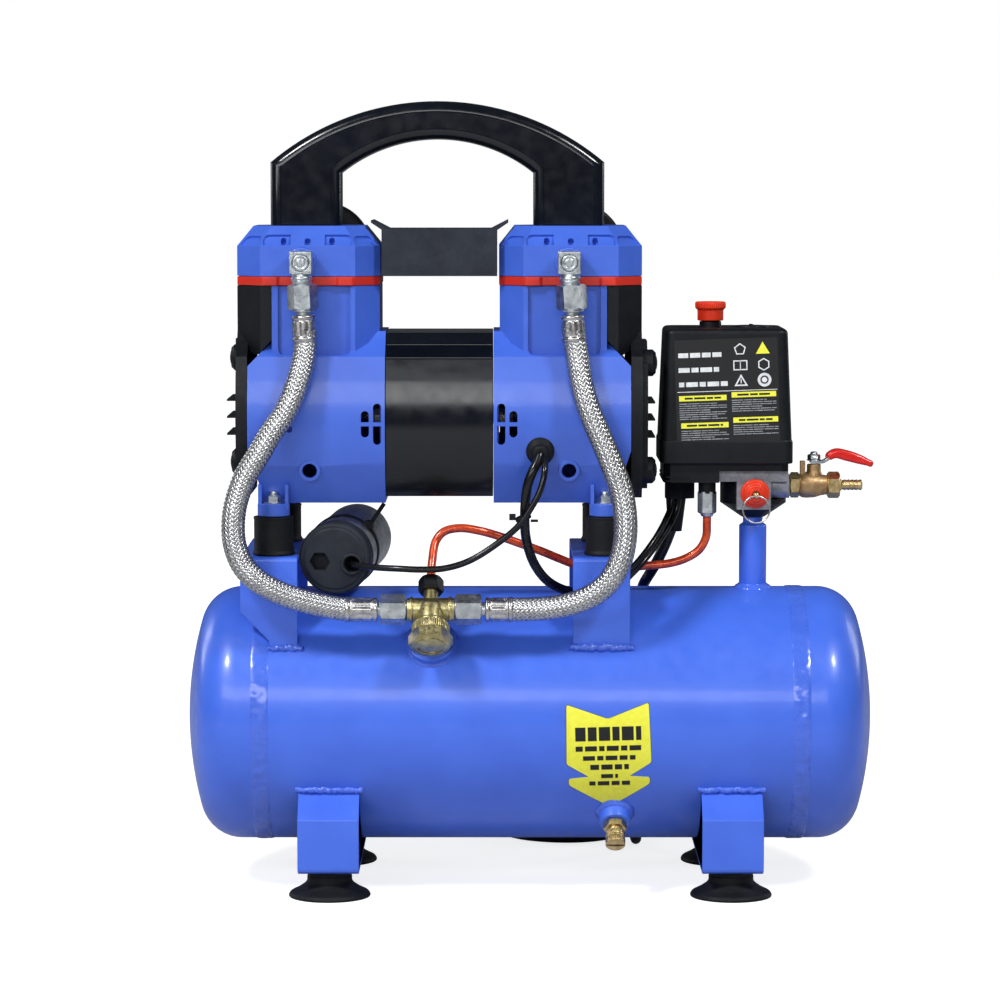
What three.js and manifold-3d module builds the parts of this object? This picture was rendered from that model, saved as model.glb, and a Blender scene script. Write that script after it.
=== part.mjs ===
// Small oil-free twin-head air compressor with its receiver tank, in millimetres, +Z up.
// X runs along the tank, the front (valve and hose side) faces -Y.
// The pump sits on two welded saddles, the pressure switch on a post at the right.
import * as THREE from 'three';
import { mergeVertices } from 'three/addons/utils/BufferGeometryUtils.js';
import Module from 'manifold-3d';

const wasm = await Module();
wasm.setup();

// ---------------------------------------------------------------- driving dimensions

const GAP = 0.3; // clearance between pieces that touch
const TANK_SEGMENTS = 36;
const BORE_SEGMENTS = 28;

// The design is laid out about the tank axis; the footprint's centre is the part's origin.
const LAYOUT_TO_ORIGIN = [-0.6, 8.83, 0];

const TANK = { radius: 80, wall: 2, z: 107, seamX: 167, endX: 216, knuckle: 26, crown: 220 };
const POST = { x: 141.5, radius: 8.7, neck: 6.3, top: 228, neckTop: 235 };
const INLET = { x: -61.5, angle: 40, radius: 17, height: 4, bore: 6.5 };
const DRAIN = { x: 52.6, angle: -44, radius: 11, height: 6, bore: 5 };

const FOOT = { x: 125, y: 62, rim: 25.5, neck: 14, height: 17 };
const STRAP = { width: 38, sheet: 3, y: 84, shoulderZ: 51, topY: 62, topZ: 73 };
const SADDLE = { leftX: -162, rightX: 44, width: 35.5, sheet: 3, y: 64, top: 212 };
const MOUNT = { y: 46, radius: 12.6, waist: 12.3, top: 236 };

// The pump is symmetric about its own centre: u is the distance from it along the shaft.
const PUMP = { x: -56.5, z: 297 };
const CASE = { inner: 33.6, innerWall: 3.4, outer: 118.7, wall: 4.5, shoulder: 103.9 };
const CASE_HALF = [
  [33, 53.5], [38.5, 46.2], [50.5, 38.5], [54, 25], [58, 0], [54, -29.4], [46, -44], [42, -49.7],
];
const HEAD = {
  u: 81.5, halfX: 44.5, halfY: 46, flatX: 29.5, flatY: 32, bottom: 82.3, plate: 5.5, eave: 106.6, top: 119,
};
const HEAD_SCREWS = { u: 23.5, half: 4.5, reach: 47.4 };
const PANEL = { from: 55, to: 100, bottom: 42, depth: 2.5 };
const LUG = { u: 103.2, radius: 10, ear: 2.2, base: 8.2 };
const SHROUD = {
  to: 126, plate: 129.5, wall: 2.5, finTip: 134.2, bossTip: 134.6, boss: 8.4, fin: 1.2, pitch: 10.7,
};
const SHAFT = { radius: 6, half: 124, throw: 5.5, eccentric: 14 };
const SLEEVE = { inner: 31.8, outer: 33.5, bottom: 30 };
const BEARING = { outer: 14, from: 37.4, to: 45.7 };
const ROD = { length: 75.5, ring: 21, piston: 25.8, crown: 8 };
const FAN = { from: 116, to: 124.2, radius: 40, hub: 11, blades: 7, chord: 4, pitch: 35, thickness: 1.6 };
const STATOR = { outer: 45, inner: 28.5, half: 26, winding: 31 };
const HANDLE = {
  x: -1.6, outer: 104.6, inner: 60.2, shoulder: 158.5, top: 196.6, throat: 151.8, arch: 172.8,
  halfY: 17, bevel: 4,
};
const LINK = { half: 35.9, y: 40, bottom: 88, top: 117, sheet: 2, tab: 42.8, tabY: 30 };
const FILTER = { offset: 5, z: 102, radius: 31, from: 52, to: 80 };

// Each hose end leans a little: its elbow and its top ferrule are not quite in line.
const HOSE = { radius: 7, nut: 16.5, ferrule: 7.5, y: -57, tailY: -77.5, tailZ: 181.2 };
const HOSE_TOP = { left: { elbowX: -141.5, ferruleX: -139.7 }, right: { elbowX: 23.8, ferruleX: 26.3 } };
const HOSE_TAIL = {
  left: { ferrule: [-114.3, -94], nut: [-92.7, -76.5] },
  right: { ferrule: [-10.8, -28], nut: [-30.2, -46.5] },
};
const ELBOW = { z: 393.8, size: 14, front: -64, back: -50, stub: 6 };
const VALVE = { reach: 27, body: 10, port: 7.2, portHalf: 14.7, cap: 27 / 2, tee: 7 };
const UNLOADER = { radius: 2.65, x: 111.3, y: -20 };

const SWITCH = { x: POST.x, z: 250 };
const COVER = { x: -18.75, halfX: 38.3, halfY: 33, bottom: 31.5, top: 102, draft: 1.9, wall: 2.5, bevel: 5 };
const SKIRT = { halfX: 42, halfY: 35, bottom: 17.7, top: 31.5 };
const KNOB = { x: -27.5, body: 8, flange: 9.5, collar: 6.2, stem: 3.6 };
const OUTLET = { y: -12, z: 0.5 };
const LEVER = { x: 37.5, seat: 13.4 };
const SAFETY = { x: -0.5, z: -1.5, radius: 9.1, front: -38 };

const CAPACITOR = { x: -119.7, y: -50, z: 210.7, radius: 23, can: 22.4, boot: 15, length: 95, yaw: 4.2 };
const GLAND = { x: 95, y: 1, flats: 18.4, bottom: 243.6 };
const LEAD = { motor: 3, core: 1.9, capacitor: 2, sides: 6 };
const CORD = { radius: 3.5, sides: 8 };
const COIL = { x: 27, y: 168, turn: 38, band: 10.5, height: 14 };
const PLUG = {
  relief: 26, body: 34, halfWidth: 15, halfHeight: 10.5, corner: 5, pin: 2.4, pinLength: 19, pinSpacing: 19,
};

const BLUE = [0x4b69e1, 0.42, 0.0];
const BLACK_GLOSS = [0x0c0e12, 0.22, 0.0];
const BLACK_MATTE = [0x17191d, 0.6, 0.0];
const RUBBER = [0x121314, 0.8, 0.0];
const RED = [0xd92b10, 0.4, 0.0];
const STEEL = [0xb4b8bb, 0.32, 0.9];
const ALUMINIUM = [0xa9abb0, 0.5, 0.85];
const BRASS = [0xc29a52, 0.35, 0.9];
const COPPER_LACQUER = [0xc8401a, 0.3, 0.2];
const GREY_SHEET = [0x33363d, 0.65, 0.1];
const IRON = [0x6a6d72, 0.6, 0.7];

// ---------------------------------------------------------------- solids

const X = new THREE.Vector3(1, 0, 0);
const Y = new THREE.Vector3(0, 1, 0);
const Z = new THREE.Vector3(0, 0, 1);
const radians = THREE.MathUtils.degToRad;

// A closed three.js geometry as a manifold solid, with shared vertices and faces out.
function solid(geometry) {
  const bare = new THREE.BufferGeometry();
  bare.setAttribute('position', geometry.getAttribute('position'));
  bare.setIndex(geometry.getIndex());
  const merged = mergeVertices(bare, 1e-3);
  const points = merged.getAttribute('position');
  const index = merged.getIndex().array;
  const corner = (i) => new THREE.Vector3().fromBufferAttribute(points, i);
  const faces = [];
  let volume = 0;
  for (let i = 0; i < index.length; i += 3) {
    const [a, b, c] = index.slice(i, i + 3);
    if (a === b || b === c || c === a) continue;
    faces.push([a, b, c]);
    volume += corner(a).dot(corner(b).cross(corner(c)));
  }
  const outward = volume > 0 ? faces : faces.map(([a, b, c]) => [a, c, b]);
  return new wasm.Manifold(new wasm.Mesh({
    numProp: 3,
    vertProperties: new Float32Array(points.array),
    triVerts: new Uint32Array(outward.flat()),
  }));
}

const join = (...solids) => solids.reduce((all, next) => all.add(next));
const cut = (from, ...tools) => tools.reduce((left, tool) => left.subtract(tool), from);
const shift = (piece, x, y, z) => piece.translate([x, y, z]);
const mirrorX = (piece) => piece.mirror([1, 0, 0]);
const mirrorY = (piece) => piece.mirror([0, 1, 0]);

function outline(points) {
  return new THREE.Shape(points.map(([x, y]) => new THREE.Vector2(x, y)));
}

// A rectangle with its corners cut off.
function chamferedBox(a, b, halfA, halfB, corner) {
  const quarter = [[halfA, halfB - corner], [halfA - corner, halfB]];
  const flip = (points, x, y) => points.map(([p, q]) => [a + x * p, b + y * q]);
  return [
    ...flip(quarter, 1, 1), ...flip(quarter, -1, 1).reverse(),
    ...flip(quarter, -1, -1), ...flip(quarter, 1, -1).reverse(),
  ];
}

// An outline pushed along an axis. It is drawn in (Y, Z), (X, Z) or (X, Y) for axis X, Y or Z.
function prism(shape, axis, from, to, curveSegments = 8) {
  const drawn = Array.isArray(shape) ? outline(shape) : shape;
  const geometry = new THREE.ExtrudeGeometry(drawn, { depth: to - from, bevelEnabled: false, curveSegments });
  geometry.translate(0, 0, axis === 'y' ? -to : from);
  const basis = new THREE.Matrix4();
  if (axis === 'x') basis.makeBasis(Y, Z, X);
  if (axis === 'y') basis.makeBasis(X, Z, Y.clone().negate());
  return solid(geometry.applyMatrix4(basis));
}

function block(x0, x1, y0, y1, z0, z1) {
  const geometry = new THREE.BoxGeometry(x1 - x0, y1 - y0, z1 - z0);
  return solid(geometry.translate((x0 + x1) / 2, (y0 + y1) / 2, (z0 + z1) / 2));
}

// Moves a geometry drawn along +Y so that it starts at a point and runs along a direction.
function aim(geometry, at, direction) {
  const turn = new THREE.Quaternion().setFromUnitVectors(Y, new THREE.Vector3(...direction).normalize());
  const place = new THREE.Matrix4().makeRotationFromQuaternion(turn).setPosition(...at);
  return geometry.applyMatrix4(place);
}

// A profile of [radius, height] points turned about an axis through a point.
function turned(profile, at, direction, segments = 24) {
  const points = profile.map(([r, h]) => new THREE.Vector2(r, h));
  return solid(aim(new THREE.LatheGeometry(points, segments), at, direction));
}

function rod(radius, from, to, segments = 20, endRadius = radius) {
  const a = new THREE.Vector3(...from);
  const along = new THREE.Vector3(...to).sub(a);
  const length = along.length();
  const geometry = new THREE.CylinderGeometry(endRadius, radius, length, segments);
  return solid(aim(geometry.translate(0, length / 2, 0), from, along.toArray()));
}

// A hexagonal bar given by its size across flats.
const hexBar = (flats, from, to) => rod(flats / Math.sqrt(3), from, to, 6);

// A ring of rectangular section about a line.
const ring = (inner, outer, from, to, segments = 24) =>
  cut(rod(outer, from, to, segments), rod(inner, from, to, segments));

// A round tube along a smooth curve through the given points.
function tube(points, radius, sides, steps) {
  const path = new THREE.CatmullRomCurve3(points.map((p) => new THREE.Vector3(...p)));
  const section = [];
  for (let i = 0; i < sides; i += 1) {
    const turn = (2 * Math.PI * i) / sides;
    section.push([radius * Math.cos(turn), radius * Math.sin(turn)]);
  }
  return solid(new THREE.ExtrudeGeometry(outline(section), { extrudePath: path, steps }));
}

function mesh(name, piece, [color, roughness, metalness]) {
  const { vertProperties, triVerts, numProp } = piece.getMesh();
  const geometry = new THREE.BufferGeometry();
  const positions = new Float32Array((vertProperties.length / numProp) * 3);
  for (let i = 0; i < positions.length / 3; i += 1) {
    for (let k = 0; k < 3; k += 1) positions[3 * i + k] = vertProperties[numProp * i + k];
  }
  geometry.setAttribute('position', new THREE.BufferAttribute(positions, 3));
  geometry.setIndex(new THREE.BufferAttribute(new Uint32Array(triVerts), 1));
  geometry.computeVertexNormals();
  const made = new THREE.Mesh(geometry, new THREE.MeshStandardMaterial({ color, roughness, metalness }));
  made.name = name;
  return made;
}

// A piece and its mirror image on the other side of the pump or tank.
function pair(name, piece, finish) {
  return [mesh(`${name}_right`, piece, finish), mesh(`${name}_left`, mirrorX(piece), finish)];
}

function groupAt(x, y, z, meshes) {
  const group = new THREE.Group();
  group.position.set(x, y, z);
  group.add(...meshes);
  return group;
}

// ---------------------------------------------------------------- tank

// A direction out of the tank's side, by its angle above the horizontal at the front.
function outOfTank(angle) {
  return [0, -Math.cos(radians(angle)), Math.sin(radians(angle))];
}

const alongRay = (x, direction, distance) => [x, direction[1] * distance, direction[2] * distance];

function tankShell() {
  const half = TANK.seamX - GAP / 2;
  const inner = TANK.radius - TANK.wall;
  let shell = ring(inner, TANK.radius, [-half, 0, 0], [half, 0, 0], TANK_SEGMENTS);
  for (const boss of [INLET, DRAIN]) {
    const out = outOfTank(boss.angle);
    const at = (reach) => alongRay(boss.x, out, reach);
    const collar = rod(boss.radius, at(inner + 0.6), at(TANK.radius + boss.height), 24);
    shell = cut(join(shell, collar), rod(boss.bore, at(inner - 6), at(TANK.radius + 20), 16));
  }
  const post = turned([
    [0, TANK.radius - 1], [POST.radius + 3, TANK.radius - 1], [POST.radius, TANK.radius + 2.5],
    [POST.radius, POST.top - TANK.z - 2], [POST.neck, POST.top - TANK.z], [POST.neck, POST.neckTop - TANK.z],
    [0, POST.neckTop - TANK.z],
  ], [POST.x, 0, 0], [0, 0, 1], 24);
  const passage = rod(4.2, [POST.x, 0, inner - 6], [POST.x, 0, 160], 16);
  return mesh('tank_shell', cut(join(shell, post), passage), BLUE);
}

// Points of the dished end's outline, from the axis out to the rim, at one offset from its outside.
function dishOutline(inset, crownSteps, knuckleSteps) {
  const crownCentre = TANK.endX - TANK.crown;
  const knuckleRadius = TANK.radius - TANK.knuckle;
  const reach = TANK.crown - TANK.knuckle;
  const knuckleX = crownCentre + Math.sqrt(reach ** 2 - knuckleRadius ** 2);
  const meet = Math.asin(knuckleRadius / reach);
  const points = [];
  for (let i = 0; i <= crownSteps; i += 1) {
    const a = (meet * i) / crownSteps;
    points.push([(TANK.crown - inset) * Math.sin(a), crownCentre + (TANK.crown - inset) * Math.cos(a)]);
  }
  for (let i = 1; i <= knuckleSteps; i += 1) {
    const a = meet + ((Math.PI / 2 - meet) * i) / knuckleSteps;
    const radius = TANK.knuckle - inset;
    points.push([knuckleRadius + radius * Math.sin(a), knuckleX + radius * Math.cos(a)]);
  }
  return points;
}

function tankEnds() {
  const rim = TANK.seamX + GAP / 2;
  const outside = [...dishOutline(0, 2, 3), [TANK.radius, rim]];
  const inside = [...dishOutline(TANK.wall, 1, 2), [TANK.radius - TANK.wall, rim]];
  const end = turned([...outside, ...inside.reverse()], [0, 0, 0], [1, 0, 0], TANK_SEGMENTS);
  return pair('tank_end', end, BLUE);
}

// The body of the tank grown by the usual clearance, used to trim what is welded to it.
function tankClearance() {
  return rod(TANK.radius + GAP, [-TANK.endX, 0, 0], [TANK.endX, 0, 0], 2 * TANK_SEGMENTS);
}

// A bent strap under the tank, its sides running up to the weld on either side of it.
function footStraps() {
  const { width, sheet, y, shoulderZ, topY, topZ } = STRAP;
  const low = FOOT.height;
  const bend = 4;
  const half = [
    [topY, topZ], [y, shoulderZ], [y, low + bend], [y - bend * 0.3, low + bend * 0.3], [y - bend, low],
  ];
  const inner = half.map(([a, b]) => [a - sheet, b + sheet * 0.4]);
  inner[3] = [y - sheet - 1.2, low + sheet + 1.2];
  inner[4] = [y - sheet - 3, low + sheet];
  inner.splice(2, 1);
  const right = [...half, ...inner.reverse()];
  const side = prism(right, 'x', -width / 2, width / 2);
  const base = block(-width / 2, width / 2, -(y - bend), y - bend, low, low + sheet);
  const strap = join(side, mirrorY(side), base);
  return [['left', -FOOT.x], ['right', FOOT.x]].map(([name, x]) => {
    const placed = shift(strap, x, 0, -TANK.z);
    return mesh(`foot_strap_${name}`, cut(placed, tankClearance()), BLUE);
  });
}

function suctionFeet() {
  const { rim, neck, height } = FOOT;
  const foot = turned([
    [0, 4], [18, 1.5], [20, 0], [rim, 0], [rim, 2.5], [20, 5], [neck, 9],
    [neck, height - GAP], [0, height - GAP],
  ], [0, 0, 0], [0, 0, 1], 20);
  const feet = [];
  for (const [side, x] of [['left', -FOOT.x], ['right', FOOT.x]]) {
    for (const [face, y] of [['front', -FOOT.y], ['rear', FOOT.y]]) {
      feet.push(mesh(`suction_foot_${face}_${side}`, shift(foot, x, y, -TANK.z), RUBBER));
    }
  }
  return feet;
}

// An inverted U of sheet standing on the tank, which carries one end of the pump.
function saddles() {
  const { width, sheet, y, top } = SADDLE;
  const foot = 150;
  const bend = 3;
  const section = [
    [y, foot], [y, top - bend], [y - bend * 0.3, top - bend * 0.3], [y - bend, top],
    [-y + bend, top], [-y + bend * 0.3, top - bend * 0.3], [-y, top - bend], [-y, foot],
    [-y + sheet, foot], [-y + sheet, top - sheet], [y - sheet, top - sheet], [y - sheet, foot],
  ];
  const plate = prism(section, 'x', -width / 2, width / 2);
  // The leg nearest the tank's end is cut back along its dome.
  const edge = -width / 2 - 1;
  const relief = prism([[edge, 179], [edge, 140], [0, 140], [0, 160]], 'y', -y - 1, y + 1);
  const legs = [['left', SADDLE.leftX, cut(plate, relief)], ['right', SADDLE.rightX, plate]];
  return legs.map(([name, x, piece]) =>
    mesh(`saddle_${name}`, cut(shift(piece, x, 0, -TANK.z), tankClearance()), BLUE));
}

// The drain: a hexagonal fitting in the boss, and the slotted screw that opens it by hand.
function drainCock() {
  const out = outOfTank(DRAIN.angle);
  const at = (d) => alongRay(DRAIN.x, out, TANK.radius + d);
  const fitting = cut(
    join(
      rod(DRAIN.bore - GAP, at(1), at(DRAIN.height + 1), 14),
      hexBar(13, at(DRAIN.height + GAP), at(13)),
      rod(4.8, at(12.5), at(15), 14),
    ),
    rod(2.4, at(0), at(16), 12),
  );
  const across = new THREE.Vector3(...out).cross(X);
  const slot = block(-8, 8, -0.8, 0.8, -2.5, 2.5);
  const turn = new THREE.Matrix4().makeBasis(X, across, new THREE.Vector3(...out));
  turn.setPosition(...at(25));
  const screw = join(rod(2, at(6), at(16.5), 12), rod(6.2, at(15 + GAP), at(25), 18));
  return [
    mesh('drain_fitting', fitting, BRASS),
    mesh('drain_screw', cut(screw, slot.transform(turn.toArray())), BRASS),
  ];
}

// ---------------------------------------------------------------- pump

// The crankcase section, drawn in (Y, Z), with each corner pulled in towards the shaft by the inset.
function caseOutline(inset) {
  const half = CASE_HALF.map(([y, z]) => {
    const shrink = 1 - inset / Math.hypot(y, z);
    return [y * shrink, z * shrink];
  });
  return [...half, ...half.map(([y, z]) => [-y, z]).reverse()];
}

// The front silhouette of the crankcase, drawn in (u, Z).
function caseSilhouette(grow) {
  return [
    [0, -70], [111 + grow, -70], [111 + grow, -44], [CASE.outer + grow, -19.6],
    [CASE.outer + grow, 32.6 + grow], [CASE.shoulder + grow, 48 + grow], [CASE.shoulder + grow, 100], [0, 100],
  ];
}

// The head's plan, a rectangle with cut corners, drawn in (u, Y); the far edge may stop short.
function headPlan(inset, outer = HEAD.u + HEAD.halfX) {
  const x0 = HEAD.u - HEAD.halfX + inset;
  const x1 = Math.min(outer, HEAD.u + HEAD.halfX - inset);
  const y = HEAD.halfY - inset;
  const yc = HEAD.flatY - inset * 0.4;
  const c0 = HEAD.u - HEAD.flatX + inset * 0.4;
  const c1 = HEAD.u + HEAD.flatX - inset * 0.4;
  const outerCorner = x1 > c1 ? [[c1, -y], [x1, -yc], [x1, yc], [c1, y]] : [[x1, -y], [x1, y]];
  return [[x0, -yc], [c0, -y], ...outerCorner, [c0, y], [x0, yc]];
}

function capsule(u, halfWidth, low, high, roundTop) {
  const shape = new THREE.Shape();
  const round = roundTop ? high - halfWidth : low + halfWidth;
  if (roundTop) {
    shape.moveTo(u - halfWidth, low);
    shape.lineTo(u + halfWidth, low);
    shape.absarc(u, round, halfWidth, 0, Math.PI, false);
  } else {
    shape.moveTo(u + halfWidth, high);
    shape.lineTo(u - halfWidth, high);
    shape.absarc(u, round, halfWidth, Math.PI, 2 * Math.PI, false);
  }
  return shape;
}

// Two upright vents beside the motor, each split by a bridge, through one side wall.
function ventCuts() {
  const middle = -3;
  const cuts = [];
  for (const [u, reach] of [[38.4, 12.8], [45.9, 8.2]]) {
    cuts.push(prism(capsule(u, 2.5, middle + 1.2, middle + reach, true), 'y', -70, -48, 2));
    cuts.push(prism(capsule(u, 2.5, middle - reach, middle - 1.2, false), 'y', -70, -48, 2));
  }
  return cuts;
}

// The crankcase casting with its cylinder block, open at the outer end, for the +X side.
function pumpHousing() {
  const body = prism(caseOutline(0), 'x', CASE.inner, CASE.outer + 8)
    .intersect(prism(caseSilhouette(0), 'y', -70, 70));
  const cylinderBlock = prism(headPlan(0.4, CASE.shoulder), 'z', 30, HEAD.bottom - GAP);
  const panel = block(PANEL.from, PANEL.to, -60, -HEAD.halfY + 0.4 + PANEL.depth, PANEL.bottom, 100);
  const seatZ = MOUNT.top + GAP - PUMP.z;
  const lugs = [-MOUNT.y, MOUNT.y].flatMap((y) => [
    rod(LUG.radius, [LUG.u, y, seatZ], [LUG.u, y, MOUNT.top + LUG.base - PUMP.z], 20),
    ...[-1, 1].map((ear) => {
      const u = LUG.u + ear * (LUG.radius - LUG.ear / 2 - 0.6);
      return block(u - LUG.ear / 2, u + LUG.ear / 2, y - 5, y + 5, seatZ, -40);
    }),
  ]);
  const chamber = prism(caseOutline(CASE.wall), 'x', CASE.inner + CASE.innerWall, CASE.outer + 20);
  const solidBody = join(body, cut(cylinderBlock, panel, mirrorY(panel)));
  const hollow = cut(
    solidBody,
    chamber,
    rod(SLEEVE.outer + GAP, [HEAD.u, 0, 20], [HEAD.u, 0, 100], BORE_SEGMENTS),
    ...ventCuts(),
    ...ventCuts().map(mirrorY),
    rod(4.5, [80.4, -70, -32], [80.4, -45, -32], 16),
  );
  const seat = rod(BEARING.outer + 5, [CASE.inner, 0, 0], [BEARING.to, 0, 0], 24);
  return cut(
    join(hollow, seat, ...lugs),
    rod(BEARING.outer + GAP, [CASE.inner + 3.5, 0, 0], [60, 0, 0], 24),
    rod(10, [20, 0, 0], [60, 0, 0], 20),
  );
}

function pumpHousings() {
  const right = pumpHousing();
  const leadHole = rod(7, [62.5, -70, -21.6], [62.5, -40, -17.5], 20);
  return [
    mesh('pump_housing_right', cut(right, leadHole), BLUE),
    mesh('pump_housing_left', mirrorX(right), BLUE),
  ];
}

function statorCover() {
  const half = CASE.inner - GAP;
  const shell = cut(prism(caseOutline(1), 'x', -half, half), prism(caseOutline(4), 'x', -half - 1, half + 1));
  return mesh('stator_cover', shell, BLACK_GLOSS);
}

function statorCore() {
  const { outer, inner, half, winding } = STATOR;
  const core = cut(
    join(rod(outer, [-half, 0, 0], [half, 0, 0], 24), rod(41, [-winding, 0, 0], [winding, 0, 0], 24)),
    rod(inner, [-40, 0, 0], [40, 0, 0], 24),
  );
  return mesh('stator_core', core, IRON);
}

function bearings() {
  const inner = SHAFT.radius + GAP;
  const bearing = ring(inner, BEARING.outer, [BEARING.from, 0, 0], [BEARING.to, 0, 0], 20);
  return pair('bearing', bearing, STEEL);
}

// Shaft, lamination stack and the two eccentrics, half a turn apart, as one pressed assembly.
function rotor() {
  const shaft = rod(SHAFT.radius, [-SHAFT.half, 0, 0], [SHAFT.half, 0, 0], 16);
  const stack = rod(STATOR.inner - 1, [-STATOR.half, 0, 0], [STATOR.half, 0, 0], 24);
  const eccentrics = [-1, 1].map((side) => {
    const z = -side * SHAFT.throw;
    return rod(SHAFT.eccentric, [side * HEAD.u - 6, 0, z], [side * HEAD.u + 6, 0, z], 18);
  });
  return mesh('rotor', join(shaft, stack, ...eccentrics), STEEL);
}

function fans() {
  const middle = (FAN.from + FAN.to) / 2;
  const hub = ring(SHAFT.radius + GAP, FAN.hub, [FAN.from, 0, 0], [FAN.to, 0, 0], 14);
  const blades = [];
  for (let i = 0; i < FAN.blades; i += 1) {
    const turn = new THREE.Matrix4().makeRotationX((2 * Math.PI * i) / FAN.blades);
    const pitch = new THREE.Matrix4().makeRotationZ(radians(FAN.pitch));
    const place = new THREE.Matrix4().makeTranslation(middle, 0, 0).multiply(turn).multiply(pitch);
    const half = FAN.thickness / 2;
    const blade = block(-FAN.chord, FAN.chord, -half, half, FAN.hub - 1.5, FAN.radius);
    blades.push(blade.transform(place.toArray()));
  }
  const fan = join(hub, ...blades);
  return pair('fan', fan, BLACK_MATTE);
}

// Connecting rod and piston in one piece, upright over an eccentric at the given height.
function pistonRods() {
  const { length, ring: outer, piston, crown } = ROD;
  const bigEnd = ring(SHAFT.eccentric + 0.5, outer, [-5, 0, 0], [5, 0, 0], 24);
  const shank = block(-4, 4, -7, 7, outer - 2, length - crown + 1);
  const top = rod(piston, [0, 0, length - crown], [0, 0, length], BORE_SEGMENTS);
  const whole = join(bigEnd, shank, top);
  return [['left', -1], ['right', 1]].map(([name, side]) =>
    mesh(`piston_rod_${name}`, shift(whole, side * HEAD.u, 0, -side * SHAFT.throw), ALUMINIUM));
}

function cylinderSleeves() {
  const at = (z) => [HEAD.u, 0, z];
  const sleeve = ring(SLEEVE.inner, SLEEVE.outer, at(SLEEVE.bottom), at(HEAD.bottom - GAP), BORE_SEGMENTS);
  return pair('cylinder_sleeve', sleeve, ALUMINIUM);
}

function valvePlates() {
  const top = HEAD.bottom + HEAD.plate;
  const { u, half, reach } = HEAD_SCREWS;
  const bars = [HEAD.u - u, HEAD.u + u].map((x) => block(x - half, x + half, -reach, reach, HEAD.bottom, top));
  const plate = cut(
    join(prism(headPlan(0), 'z', HEAD.bottom, top), ...bars),
    rod(4, [HEAD.u - 12, 0, 70], [HEAD.u - 12, 0, 100], 16),
    rod(4, [HEAD.u + 12, 0, 70], [HEAD.u + 12, 0, 100], 16),
  );
  return pair('valve_plate', plate, RED);
}

// The head: straight sides, then a sloping roof, with an inlet and an outlet chamber beneath.
function cylinderHeads() {
  const bottom = HEAD.bottom + HEAD.plate + GAP;
  const roofScale = 0.78;
  const walls = prism(headPlan(0), 'z', bottom, HEAD.eave);
  const roof = prism(headPlan(0), 'z', HEAD.eave - 0.01, HEAD.top).warp((p) => {
    if (p[2] < HEAD.top - 1) return;
    p[0] = HEAD.u + (p[0] - HEAD.u) * roofScale;
    p[1] *= roofScale;
  });
  const chambers = [-1, 1].map((side) => {
    const near = side * 3;
    const far = side * 33;
    return block(HEAD.u - 30, HEAD.u + 30, Math.min(near, far), Math.max(near, far), bottom - 1, 107);
  });
  const plain = cut(join(walls, roof), ...chambers);
  const portZ = ELBOW.z - PUMP.z;
  return [['left', -1, HOSE_TOP.left], ['right', 1, HOSE_TOP.right]].map(([name, side, top]) => {
    const portX = top.elbowX - PUMP.x;
    const filterX = side * HEAD.u + FILTER.offset;
    const head = cut(
      side > 0 ? plain : mirrorX(plain),
      rod(ELBOW.stub + GAP, [portX, -60, portZ], [portX, -25, portZ], 20),
      rod(14.3, [filterX, 25, FILTER.z], [filterX, 60, FILTER.z], 20),
    );
    return mesh(`cylinder_head_${name}`, head, BLUE);
  });
}

function airFilters() {
  const { radius, from, to } = FILTER;
  const drum = turned([
    [0, 36], [13.8, 36], [13.8, from], [radius, from], [radius, to - 8],
    [radius - 3, to - 6], [radius - 3, to], [0, to],
  ], [0, 0, 0], [0, 1, 0], 24);
  return [['left', -1], ['right', 1]].map(([name, side]) =>
    mesh(`air_filter_${name}`, shift(drum, side * HEAD.u + FILTER.offset, 0, FILTER.z), BLACK_MATTE));
}

// The black end cover: a shroud beside the cylinder and a flange round the crankcase. Its grille, fins and
// two bosses are on one half only, so they face front on the right cover and back on the left one.
function endCovers() {
  const { to, plate, wall, finTip, bossTip, boss, fin, pitch } = SHROUD;
  const plan = [[100, -46], [111, -46], [to, -32], [to, 32], [111, 46], [100, 46]];
  const planInside = [
    [90, -46 + wall], [110, -46 + wall], [to - wall, -31], [to - wall, 31], [110, 46 - wall], [90, 46 - wall],
  ];
  const shroud = prism(plan, 'z', 20, HEAD.bottom - GAP);
  const flange = prism(caseOutline(0), 'x', CASE.outer + GAP, to);
  const grille = prism(caseOutline(7), 'x', to - 1, plate).intersect(block(to - 2, plate + 1, -60, 0, -60, 60));
  const shell = cut(
    join(shroud, flange, grille),
    prism(planInside, 'z', 10, HEAD.bottom - wall),
    rod(SLEEVE.outer + 2 * GAP, [HEAD.u, 0, 10], [HEAD.u, 0, HEAD.bottom + 1], BORE_SEGMENTS),
    prism(caseOutline(wall + 1), 'x', 90, to - 0.5),
    prism(caseSilhouette(GAP), 'y', -80, 80),
    ...[-1, 0, 1, 2].map((i) => block(to - 3, plate + 3, -34, -4, -8.8 + pitch * i, -4.6 + pitch * i)),
  );
  const fins = [-1, 0, 1].map((i) => block(to - 1, finTip, -42, 15, -1.8 + pitch * i, fin - 1.8 + pitch * i));
  const bosses = [34, -33].map((z) => rod(boss, [to - 3, -36, z], [bossTip - 2, -36, z], 16).add(
    rod(boss, [bossTip - 2, -36, z], [bossTip, -36, z], 16, boss - 2)));
  const cover = join(shell, ...fins, ...bosses);
  const turnedRound = mirrorY(mirrorX(cover));
  return [mesh('end_cover_right', cover, BLACK_MATTE), mesh('end_cover_left', turnedRound, BLACK_MATTE)];
}

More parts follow.
